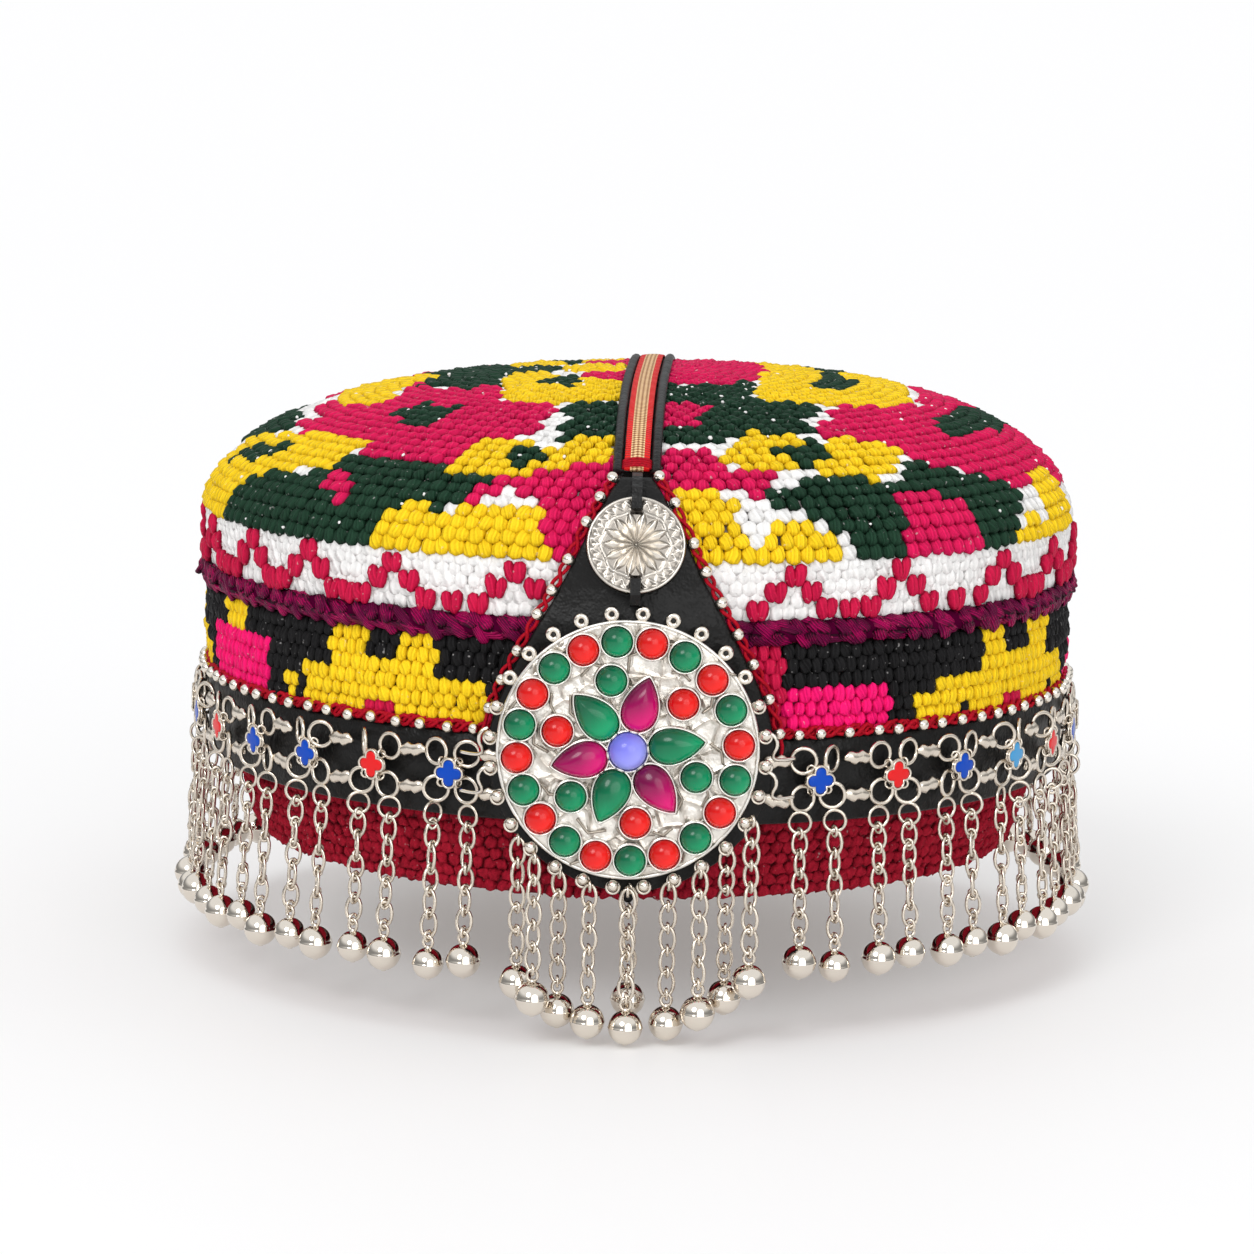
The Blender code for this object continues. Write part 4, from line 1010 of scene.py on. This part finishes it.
# Painted shade: the edges of the folds darken towards brown, as shade along the creases
ridge = foil.node("MapRange", Value=folds, From_Min=0.0, From_Max=0.12, To_Min=1.0, To_Max=0.0)
ground = foil.mix(fine, (0.62, 0.57, 0.50), (0.95, 0.92, 0.87))
foil.set("Base Color", foil.mix(ridge * 0.55, ground, (0.44, 0.38, 0.31)))
foil.set("Roughness", fine * 0.3 + 0.22)
foil.bump(ridge * 0.4 + fine * 0.4 + broad * 2.0, 0.75, 1.1)
rho = np.linspace(0.3, PLATE_RADIUS, 60)[:, None]
phi = full_turn(170)[None, :]
x, z = rho * np.sin(phi), rho * np.cos(phi)
swell = 0.16 * np.sin(0.9 * x + 1.3 * np.sin(0.5 * z)) * np.sin(0.8 * z + 1.1 * np.sin(0.6 * x))
points, faces = coin(on_medal, rho, phi, PLATE_FRONT + swell, (27.3, 12.0), PLATE_FRONT)
build("medallion_plate", points, faces, foil.made, "silver", ["medallion"])
turn = full_turn(160)
rim = on_medal(RIM_RADIUS * np.sin(turn), RIM_RADIUS * np.cos(turn), 1.3)
rim_wires = [tubes([rim], (0, -1, 0), RIM_WIRE, 10, True)]

# Stones
# Glass cabochons in wire settings: twenty on the outer circle, six on the inner one, six drops
# round the middle and a pale blue one in the centre.
STONE_BACK, ROUND_RADIUS, ROUND_RISE = 1.9, 3.2, 3.1
DROP_LONG, DROP_WIDE, DROP_RISE = 11.8, 7.6, 3.4
CENTRE_RADIUS, CENTRE_RISE = 4.1, 3.9
OUTER_CIRCLE, INNER_CIRCLE, DROP_CIRCLE = 23.7, 15.6, 10.5
INNER_DEG = (-14, 48, 110, 173, 230, 285)
DROP_DEG = (15, 82, 142, 201, 258, 316)


def cabochon(outline):
    """A closed dome on an outline of (x, z) points, round sides and a soft top, of height 1."""
    lat = np.linspace(0, np.pi / 2, 9)[:-1]
    shrink, rise = np.cos(lat) ** 0.9, np.sin(lat)
    dome = outline[None] * shrink[:, None, None]
    height = np.broadcast_to(rise[:, None], dome.shape[:2])
    base = np.concatenate([outline[None] * 0.6, outline[None]])
    x = np.concatenate([base[..., 0], dome[..., 0]])
    z = np.concatenate([base[..., 1], dome[..., 1]])
    h = np.concatenate([np.full((2, len(outline)), -0.12), height])
    return capped(np.stack([x, h, z], -1), [0, -0.12, 0], [0, 1.0, 0])


def glass(name, deep, bright, milk=0.0):
    """Foiled glass: deep colour in the middle, and a bright crescent where light gathers."""
    made = Finish(name, deep, 0.22, Coat_Weight=0.25, Coat_Roughness=0.10, Specular_IOR_Level=0.25)
    x, h, z = made.parts(made.attribute("glow"))
    away = ((x * x) + (z * z)).math("SQRT")
    crescent = x * 0.55 + z * -0.75 + away * 0.35
    glow = made.node("MapRange", Value=crescent, From_Min=-0.35, From_Max=1.0)
    cloud = made.noise(made.place(), 300.0, 2.0)
    made.set("Base Color", made.mix(glow + cloud * 0.12 + milk, deep, bright))
    return made.made


GLASS = {
    "green": glass("green_glass", (0.0, 0.075, 0.032), (0.0, 0.33, 0.13)),
    "red": glass("red_glass", (0.42, 0.001, 0.002), (0.90, 0.012, 0.008), 0.15),
    "magenta": glass("magenta_glass", (0.11, 0.0, 0.04), (0.72, 0.0, 0.17)),
    "blue": glass("blue_glass", (0.10, 0.10, 0.58), (0.33, 0.34, 0.92), 0.2),
}
outer_index = np.arange(20)
outer_deg = -6 + 18 * outer_index + 1.6 - 2.2 * np.cos(np.radians(18 * outer_index))
circle_turn = full_turn(28)
round_outline = np.stack([np.sin(circle_turn), np.cos(circle_turn)], -1)
drop_turn = full_turn(44)
drop_x = DROP_WIDE / 2 * np.sin(drop_turn) * np.sin(drop_turn / 2) ** 0.7 / 0.816
drop_outline = np.stack([-drop_x, DROP_LONG / 2 * np.cos(drop_turn)], -1)[::-1]
SETTING_GAP = 0.3


def set_stones(kind, deg, circle, outline, rise, cycle, label):
    """The stones of one circle, a piece for each colour, and the wire settings round them."""
    wires, front = [], np.array([0, -1.0, 0])
    for turn, colour in enumerate(cycle):
        chosen = np.arange(turn, len(deg), len(cycle))
        angle = np.radians(np.asarray(deg, float)[chosen])
        centres = on_medal(circle * np.sin(angle), circle * np.cos(angle), STONE_BACK)
        right = np.stack([np.cos(angle), 0 * angle, -np.sin(angle)], -1)
        outward = np.stack([np.sin(angle), 0 * angle, np.cos(angle)], -1)
        template = cabochon(outline)
        template[0][:, 1] *= rise
        faced = np.tile(front, (len(chosen), 1))
        points, faces = copies(template, centres, (right, faced, outward))
        x, z = template[0][None, :, :1], template[0][None, :, 2:]
        glow = (x * right[:, None] + z * outward[:, None]) / np.abs(outline).max(0).mean()
        names = [label.format(index + 1) for index in chosen]
        name, slot = f"{kind}_{colour}_stones", f"{colour}_glass"
        build(name, points, faces, GLASS[colour], slot, names, glow=glow.reshape(-1, 3))
        ring = outline * (1 + SETTING_GAP / np.abs(outline).max(1).mean())
        paths = centres[:, None] + ring[None, :, :1] * right[:, None] + ring[None, :, 1:] * outward[:, None]
        wires.append(tubes(paths + 0.25 * front, (0, -1, 0), 0.36, 6, True))
        wires.append(tubes(paths + front, (0, -1, 0), 0.22, 6, True))
    return wires


round_stone = round_outline * ROUND_RADIUS
STONE_SETS = (
    ("outer", outer_deg, OUTER_CIRCLE, round_stone, ROUND_RISE, ("green", "red"), "stone_outer_{:02d}"),
    ("inner", INNER_DEG, INNER_CIRCLE, round_stone, ROUND_RISE, ("green", "red"), "stone_inner_{}"),
    ("drop", DROP_DEG, DROP_CIRCLE, drop_outline, DROP_RISE, ("magenta", "green"), "stone_drop_{}"),
    ("centre", [0], 0.0, round_outline * CENTRE_RADIUS, CENTRE_RISE, ("blue",), "stone_centre"),
)
wires = []
for stone_set in STONE_SETS:
    wires += set_stones(*stone_set)

# Medallion wires
# What is soldered to the plate: crushed wire cells in the ground between the stones, a wire rim
# with cups and balls round it, and hooks that hold the chain.
cell_paths = []
CELL_COUNT, CELL_CIRCLES = 36, (19.6, 14.2, 25.2)
for index in range(CELL_COUNT):
    angle = np.radians(index * 360 / CELL_COUNT + rng.normal(0, 3))
    at = CELL_CIRCLES[index % 3] + rng.normal(0, 0.6)
    bend = np.linspace(-1, 1, 9) * rng.uniform(2.0, 3.6)
    lean = angle + rng.uniform(0.4, 2.7)
    fold = rng.uniform(0.1, 0.7) * np.abs(bend)
    x = at * np.sin(angle) + bend * np.sin(lean) + fold * np.cos(lean)
    z = at * np.cos(angle) + bend * np.cos(lean) - fold * np.sin(lean)
    cell_paths.append(on_medal(x, z, PLATE_FRONT + 0.5))
# Painted shade: the cell wires are silver darkened to brown, standing in for the shade along them
shaded_wire = silver("shaded_cell_wire", (0.42, 0.37, 0.31), 0.35, 0.2)
build("medallion_cells", *tubes(cell_paths, (0, -1, 0), 0.3, 6), shaded_wire, "silver")
build("medallion_wires", *merged(*rim_wires, *wires), medal_silver, "silver")
# Loops and balls on the rim: open cups along the top, balls on small rings elsewhere
LOOP_COUNT, LOOP_CIRCLE = 28, 29.5
loop_deg = (np.arange(LOOP_COUNT) + 0.4) * 360 / LOOP_COUNT
loop_deg = np.where(loop_deg > 180, loop_deg - 360, loop_deg)
angle = np.radians(loop_deg)
loop_at = on_medal(LOOP_CIRCLE * np.sin(angle), LOOP_CIRCLE * np.cos(angle), 1.1)
open_cup = np.abs(loop_deg + 6) < 66
turn = full_turn(18)
circle = np.stack([np.sin(turn), 0 * turn, np.cos(turn)], -1)
cups = tubes(loop_at[open_cup][:, None] + 1.08 * circle, (0, -1, 0), 0.62, 8, True)
balls = copies(ball(12, 7, 1.28), loop_at[~open_cup] + [0, -0.7, 0])
ring_at = loop_at[~open_cup][:, None] + 1.35 * circle + [0, 0.5, -0.6]
ball_rings = tubes(ring_at, (0, -1, 0), 0.34, 6, True)
# Wire hooks that join the rim to the two rows of the chain on each side: right, out and up
HOOK = (
    (29.6, 0.9, 4.4), (31.4, 1.2, 3.6), (32.0, 0.9, 1.4), (30.9, 0.0, -0.4), (31.0, -1.2, -1.8),
    (33.0, -3.2, -2.4), (36.2, -5.6, -2.2),
)
hook = np.array(HOOK)
fine, knots = np.linspace(0, len(hook) - 1, 28), np.arange(len(hook))
shifts = (-0.4, 0, 0.4)
hook = np.mean([[np.interp(fine + shift, knots, line) for line in hook.T] for shift in shifts], 0)
ends = [(side, drop) for side in (-1, 1) for drop in (0.0, -8.4)]
hooks = [on_medal(side * hook[0], hook[2] + drop, hook[1]) for side, drop in ends]
points, faces = merged(cups, balls, ball_rings, tubes(hooks, (0.1, 0.3, 0.1), 0.42, 6))
build("medallion_loops", points, faces, bead_silver, "silver")
pit_sizes = np.tile([1, 0.5, 1], (open_cup.sum(), 1))
pits = copies(ball(10, 5, 0.8), loop_at[open_cup] + [0, 0.5, 0], sizes=pit_sizes)
build("cup_shadows", *pits, Finish("cup_shadow", (0.01, 0.009, 0.008), 0.5).made, "silver")

# Chain belt
# Two rows of silver rings round the belt, joined by enamelled flowers and pinched clasps, with two
# strands of links and a round bell under each flower.
FLOWERS, FIRST_DEG, PITCH_DEG, CHAIN_CIRCLE = 15, 22.5, 10.7, 102.4
FLOWER_Z, RING_RADIUS, RING_WIRE = 28.4, 2.75, 0.5
STRAND_DEG, STRAND_TOP, BELL_CIRCLE, BELL_Z = 2.3, 103.1, 105.3, -12.6
SIDE_LIFT, BELL_RADII = 0.6, (3.75, 3.45)
BELL_LIFTS = (0.8, -0.7, 0.1, 0.5, -0.4, 0.3, -0.9)
HANG_RADIUS, HANG_Z = 2.35, 19.2
LINKS, LINK_WIDE, LINK_WIRE, EYE_TOP = 5, 1.62, 0.41, 2.6
ENAMEL = {
    "blue": Finish("blue_enamel", (0.0, 0.055, 0.42), 0.3, Specular_IOR_Level=0.2).made,
    "red": Finish("red_enamel", (0.68, 0.012, 0.014), 0.3, Specular_IOR_Level=0.2).made,
    "light": Finish("light_enamel", (0.06, 0.30, 0.58), 0.3, Specular_IOR_Level=0.2).made,
}
ENAMEL_ORDER = {-1: ("blue", "red", "blue", "blue", "red"), 1: ("blue", "red", "blue", "light", "red")}
chain_silver = silver("chain_silver", (0.73, 0.655, 0.56), 0.18, 0.15)
bell_silver = silver("bell_silver", (0.78, 0.715, 0.63), 0.06, 0.06, 90.0)


def wrapped(local, degrees, circle):
    """Local places (x round the cap, out, z) bent round it, from an angle each."""
    angle = np.radians(np.asarray(degrees, float))[:, None] + local[..., 0] / circle
    reach = circle + local[..., 1]
    return np.stack([reach * np.sin(angle), -reach * np.cos(angle), local[..., 2]], -1)


def mirrored(points, faces, side):
    """The same piece on the left of the cap, if side is -1."""
    if side > 0:
        return points, faces
    return points * [-1, 1, 1], [face[:, ::-1] for face in faces]


def rings_at(x, out, z, radius, tilt, spin=0.0, points=22, tall=1.0):
    """One ring per place, in the local frame, tilted about its upright axis."""
    turn = full_turn(points)
    across, height = radius * np.cos(turn), radius * tall * np.sin(turn)
    places = np.broadcast_arrays(x, out, z, tilt)
    x, out, z, tilt = (np.asarray(item, float)[..., None] for item in places)
    return np.stack([x + across * np.cos(tilt), out + across * np.sin(tilt), z + height + 0 * tilt], -1)


def flower_outline(samples, size):
    """A four-lobed outline: round lobes up, down, left and right."""
    turn = full_turn(samples)
    away = (turn + np.pi / 4) % (np.pi / 2) - np.pi / 4
    lobe, offset = 0.44 * size, 0.56 * size
    reach = offset * np.cos(away) + np.sqrt(np.maximum(lobe**2 - (offset * np.sin(away)) ** 2, 0.002))
    return np.stack([reach * np.sin(turn), reach * np.cos(turn)], -1)


def pillow(outline, height):
    """A closed low cushion on an outline of (x, z), with its face towards +out."""
    shrink = np.array([0.6, 1.0, 1.0, 0.86, 0.5])
    rise = np.array([0.0, 0.0, 0.55, 0.9, 1.0]) * height
    x, z = shrink[:, None] * outline[:, 0], shrink[:, None] * outline[:, 1]
    rings = np.stack([x, np.broadcast_to(rise[:, None], x.shape), z], -1)
    return capped(rings, [0, 0, 0], [0, height, 0])


def clasp():
    """A pinched clasp along x: two flared ends and a crushed waist."""
    at = np.linspace(-3.3, 3.3, 9)
    wide = np.array([0.5, 1.1, 1.45, 1.5, 1.15, 1.5, 1.45, 1.1, 0.5])
    turn = full_turn(10)
    out, z = wide[:, None] * np.cos(turn) * 0.65, wide[:, None] * np.sin(turn)
    z = z + 0.25 * np.sin(at * 2.1)[:, None]
    x = np.broadcast_to(at[:, None], out.shape)
    return capped(np.stack([x, out, z], -1), [-3.5, 0, 0], [3.5, 0, 0])


def spread(template, count):
    """A local template repeated for each unit, before it is bent round the cap."""
    points, faces = template
    step = len(points) * np.arange(count)[:, None, None]
    faces = [(face[None] + step).reshape(-1, face.shape[1]) for face in faces]
    return np.tile(points[None], (count, 1, 1)), faces


def bell_shape(radius):
    """A round bell on its axis: a small flat foot, a seam round its middle and a neck on top."""
    lat = np.linspace(-1.42, 1.4, 15)
    shell = [[radius * math.cos(a), radius * math.sin(a)] for a in lat if abs(a) > 0.1]
    seam = [[radius, -0.3], [radius + 0.09, -0.15], [radius + 0.09, 0.15], [radius, 0.3]]
    shell = sorted(shell + seam, key=lambda point: point[1])
    foot = [[0.0, -radius - 0.13], [0.5, -radius - 0.13], [0.62, -radius - 0.07]]
    neck = [[0.55, radius + 0.1], [0.5, radius + 0.5], [0.0, radius + 0.55]]
    return lathe(foot + shell + neck, 20)


def ovals(centre, sideways, upright, wide, tall, points, wire):
    """Wire ovals round centres, each in the plane of its sideways and upright directions."""
    turn = full_turn(points)[:, None]
    sideways, upright = np.broadcast_arrays(sideways, upright)
    path = centre[..., None, :] + wide * np.cos(turn) * sideways[..., None, :]
    path = (path + tall * np.sin(turn) * upright[..., None, :]).reshape(-1, points, 3)
    return tubes(path, np.cross(sideways, upright).reshape(-1, 3), wire, 6, True)


def strands(tops, bells, radii, links, out):
    """Strands of links from tops to bells: long links, a small ring between each two, and an eye
    over each bell. Every link is turned a little about its strand."""
    count, up = len(tops), np.array([0, 0, 1.0])
    across = unit(np.cross(up, out))
    loop_top = bells + (radii + EYE_TOP)[:, None] * up
    drop = (loop_top - tops)[:, None]
    pitch = np.linalg.norm(loop_top - tops, axis=-1) / links
    down = unit(drop)

    def turned(twist):
        return across[:, None] * np.cos(twist)[..., None] + out[:, None] * np.sin(twist)[..., None]

    middle = tops[:, None] + drop * ((np.arange(links) + 0.5) / links)[None, :, None]
    twist = rng.normal(0, 0.28, (count, links)) + 0.35 * (-1.0) ** np.arange(links)
    tall = (pitch / 2 + 0.38)[:, None, None, None]
    parts = [ovals(middle, turned(twist), down, LINK_WIDE, tall, 16, LINK_WIRE)]
    knots = tops[:, None] + drop * (np.arange(links + 1) / links)[None, :, None]
    twist = rng.normal(1.25, 0.2, (count, links + 1))
    parts.append(ovals(knots, turned(twist), down, 0.95, 1.15, 10, 0.36))
    parts.append(ovals(bells + (radii + 1.3)[:, None] * up, across, up, 1.15, 1.35, 12, 0.38))
    return merged(*parts)


for side in (-1, 1):
    index = np.arange(FLOWERS)
    flower_deg = FIRST_DEG + PITCH_DEG * index
    slack = rng.normal(0, 0.18, (FLOWERS, 4))
    ring_x = np.array([-3.6, 3.5, -3.6, 3.5]) + slack
    ring_z = FLOWER_Z + np.array([4.3, 4.3, -3.7, -3.7]) + slack[:, ::-1]
    ring_tilt = np.array([0.25, -0.3, -0.2, 0.3]) + slack
    hoops = rings_at(ring_x, 1.0, ring_z, RING_RADIUS, ring_tilt).reshape(FLOWERS, -1, 3)
    hoops = wrapped(hoops, flower_deg, CHAIN_CIRCLE).reshape(FLOWERS * 4, 22, 3)
    normals = around(np.repeat(flower_deg, 4), 1.0, 0.0)
    parts = [tubes(hoops, normals, RING_WIRE, 6, True)]
    eye_z = FLOWER_Z + 0.56 * (ring_z - FLOWER_Z)
    eyes = rings_at(ring_x * 0.55, 1.7, eye_z, 0.95, 1.1 - ring_tilt, points=12)
    eyes = wrapped(eyes.reshape(FLOWERS, -1, 3), flower_deg, CHAIN_CIRCLE).reshape(FLOWERS * 4, 12, 3)
    eye_normals = unit(np.cross(eyes[:, 3] - eyes[:, 0], eyes[:, 6] - eyes[:, 0]))
    parts.append(tubes(eyes, eye_normals, 0.3, 6, True))
    plate_points, plate_faces = spread(pillow(flower_outline(40, 3.45), 0.9), FLOWERS)
    plate_points = plate_points + [0, 1.6, FLOWER_Z]
    parts.append((wrapped(plate_points, flower_deg, CHAIN_CIRCLE).reshape(-1, 3), plate_faces))
    rim = flower_outline(40, 3.2)
    rim = np.stack([rim[:, 0], np.full(40, 2.5), rim[:, 1] + FLOWER_Z], -1)
    rim = wrapped(np.tile(rim[None], (FLOWERS, 1, 1)), flower_deg, CHAIN_CIRCLE)
    parts.append(tubes(rim, around(flower_deg, 1.0, 0.0), 0.3, 6, True))
    between_deg = FIRST_DEG + PITCH_DEG * (np.arange(FLOWERS + 1) - 0.5)
    for height in (4.4, -3.8):
        clasp_points, clasp_faces = spread(clasp(), FLOWERS + 1)
        sway = rng.normal(0, 0.25, (FLOWERS + 1, 1))
        clasp_points = clasp_points + [0, 1.1, FLOWER_Z + height]
        clasp_points[..., 2] += sway + clasp_points[..., 0] * sway * 0.4
        parts.append((wrapped(clasp_points, between_deg, CHAIN_CIRCLE).reshape(-1, 3), clasp_faces))
    points, faces = mirrored(*merged(*parts), side)
    name = "left" if side < 0 else "right"
    build(f"chain_{name}", points, faces, chain_silver, "silver", [f"belt_chain_{name}"])
    order = np.resize(ENAMEL_ORDER[side], FLOWERS)
    for colour, finish in ENAMEL.items():
        chosen = order == colour
        if not chosen.any():
            continue
        points, faces = spread(pillow(flower_outline(40, 2.85), 0.5), chosen.sum())
        points = wrapped(points + [0, 2.3, FLOWER_Z], flower_deg[chosen], CHAIN_CIRCLE).reshape(-1, 3)
        build(f"enamel_{colour}_{name}", *mirrored(points, faces, side), finish, "silver")
    turns = np.tile([0, 1], FLOWERS)
    strand_deg = np.repeat(flower_deg, 2) + STRAND_DEG * np.tile([-1, 1], FLOWERS)
    lift = side * SIDE_LIFT + np.array(BELL_LIFTS)[(2 * np.repeat(index, 2) + turns) % 7]
    radii = np.array(BELL_RADII)[turns]
    bells = around(strand_deg, BELL_CIRCLE, BELL_Z + lift)
    out = around(strand_deg, 1.0, 0.0)
    hang_tilt = rng.normal(0, 0.25, len(strand_deg)) + np.tile([0.15, 1.0], FLOWERS)
    hang = rings_at(np.zeros(len(strand_deg)), 0.6, HANG_Z, HANG_RADIUS, hang_tilt, points=20)
    hang = wrapped(hang, strand_deg, STRAND_TOP)
    hang_up = unit(np.cross(hang[:, 5] - hang[:, 0], hang[:, 10] - hang[:, 0]))
    hang_rings = tubes(hang, hang_up, 0.4, 6, True)
    tops = around(strand_deg, STRAND_TOP + 0.6, HANG_Z - HANG_RADIUS)
    points, faces = mirrored(*merged(strands(tops, bells, radii, LINKS, out), hang_rings), side)
    build(f"strands_{name}", points, faces, chain_silver, "silver")
    rounded = [copies(bell_shape(radius), bells[turns == turn]) for turn, radius in enumerate(BELL_RADII)]
    build(f"bells_{name}", *mirrored(*merged(*rounded), side), bell_silver, "silver")

# Medallion fringe
# Ten strands of links and bells that hang from loops on the lower rim of the medallion, the
# longest in the middle.
FRINGE_CIRCLE, FRINGE_Y, FRINGE_BELL, LINK_PITCH = 30.6, -107.1, 3.75, 4.75
# The middle of each bell: right, back from the fringe's plane, height
FRINGE_BELLS = (
    (-24.7, 2.7, -15.5), (-21.1, -2.8, -17.8), (-15.8, 2.7, -21.6), (-9.2, -1.0, -23.0),
    (-1.0, -1.4, -24.1), (-0.6, 6.4, -19.7), (7.7, 1.2, -23.6), (14.4, -2.4, -20.4),
    (20.1, 2.7, -18.0), (25.2, -2.4, -13.2),
)
fringe = np.array(FRINGE_BELLS)
bells = fringe + [0, FRINGE_Y, 0]
drop_x = np.clip(bells[:, 0] - MEDAL[0], -28.5, 28.5)
top_z = MEDAL[2] - np.sqrt(FRINGE_CIRCLE**2 - drop_x**2)
tops = np.stack([MEDAL[0] + drop_x, FRINGE_Y + 0.35 * fringe[:, 1], top_z], -1)
front = np.tile([0, -1.0, 0], (len(bells), 1))
lengths = tops[:, 2] - bells[:, 2] - FRINGE_BELL - EYE_TOP
parts = []
for index, length in enumerate(lengths):
    one = slice(index, index + 1)
    links = max(int(round(length / LINK_PITCH)), 3)
    parts.append(strands(tops[one], bells[one], np.array([FRINGE_BELL]), links, front[one]))
fringe_points, fringe_faces = merged(*parts)
build("fringe_strands", fringe_points, fringe_faces, chain_silver, "silver", ["medallion_fringe"])
build("fringe_bells", *copies(bell_shape(FRINGE_BELL), bells), bell_silver, "silver")

# Studio
# A round table of white acrylic lit from below, which keeps the shadow under the cap pale, a sky
# that is bright overhead, two broad soft lights from the front and the photograph's camera.
FLOOR_Z, FLOOR_RADIUS = -28.6, 400000.0
CAMERA_DISTANCE, CAMERA_ELEVATION, CAMERA_ROLL = 1000.0, math.radians(8.69), math.radians(1.14)
TARGET = np.array([-2.3, 0.0, 46.3])
FOCAL_PX, PHOTO_PX, SENSOR_MM = 4206.0, 1254.0, 36.0
floor_finish = Finish("studio_floor", (0.65, 0.655, 0.665), 0.5, Specular_IOR_Level=0.2)
floor_finish.set("Emission Color", (1.0, 0.955, 0.91, 1.0))
floor_finish.set("Emission Strength", 0.275)
turn = full_turn(64)
floor = bpy.data.meshes.new("floor")
corners = np.stack([FLOOR_RADIUS * np.sin(turn), FLOOR_RADIUS * np.cos(turn), FLOOR_Z + 0 * turn], -1)
floor.from_pydata((corners * MM).tolist(), [], [tuple(range(63, -1, -1))])
floor.materials.append(floor_finish.made)
floor = bpy.data.objects.new("floor", floor)
bpy.context.scene.collection.objects.link(floor)
world = bpy.data.worlds.new("studio")
bpy.context.scene.world = world
world.use_nodes = True
SKY_LOW, SKY_HIGH = 0.30, 1.0
sky = world.node_tree
aim = sky.nodes.new("ShaderNodeTexCoord")
split = sky.nodes.new("ShaderNodeSeparateXYZ")
ramp = sky.nodes.new("ShaderNodeMapRange")
ramp.interpolation_type = "SMOOTHSTEP"
ramp_values = {"From Min": 0.15, "From Max": 0.55, "To Min": SKY_LOW, "To Max": SKY_HIGH}
for socket, value in ramp_values.items():
    ramp.inputs[socket].default_value = value
sky.links.new(aim.outputs["Generated"], split.inputs[0])
sky.links.new(split.outputs["Z"], ramp.inputs["Value"])
sky.links.new(ramp.outputs[0], sky.nodes["Background"].inputs["Strength"])
sky.nodes["Background"].inputs["Color"].default_value = (0.97, 0.985, 1.0, 1)


def sun(name, toward, strength, spread_deg):
    """A broad soft light from a direction, as from a large diffuser."""
    lamp = bpy.data.lights.new(name, "SUN")
    lamp.energy, lamp.angle = strength, math.radians(spread_deg)
    made = bpy.data.objects.new(name, lamp)
    bpy.context.scene.collection.objects.link(made)
    made.rotation_euler = Vector(toward).to_track_quat("Z", "Y").to_euler()


sun("key", (-0.5, -1.0, 0.8), 1.05, 26.0)
sun("fill", (0.4, -1.0, 0.28), 0.95, 45.0)
bpy.context.scene.view_settings.view_transform = "Standard"

lens = bpy.data.cameras.new("camera")
lens.sensor_width = SENSOR_MM
lens.lens = FOCAL_PX / PHOTO_PX * SENSOR_MM
camera = bpy.data.objects.new("camera", lens)
bpy.context.scene.collection.objects.link(camera)
forward = np.array([0, math.cos(CAMERA_ELEVATION), -math.sin(CAMERA_ELEVATION)])
upward = np.array([0, math.sin(CAMERA_ELEVATION), math.cos(CAMERA_ELEVATION)])
right = np.array([1.0, 0, 0])
image_right = right * math.cos(CAMERA_ROLL) + upward * math.sin(CAMERA_ROLL)
image_up = upward * math.cos(CAMERA_ROLL) - right * math.sin(CAMERA_ROLL)
matrix = np.eye(4)
matrix[:3, :3] = np.stack([image_right, image_up, -forward], -1)
matrix[:3, 3] = (TARGET - forward * CAMERA_DISTANCE) * MM
camera.matrix_world = Matrix(matrix.tolist())
bpy.context.scene.camera = camera
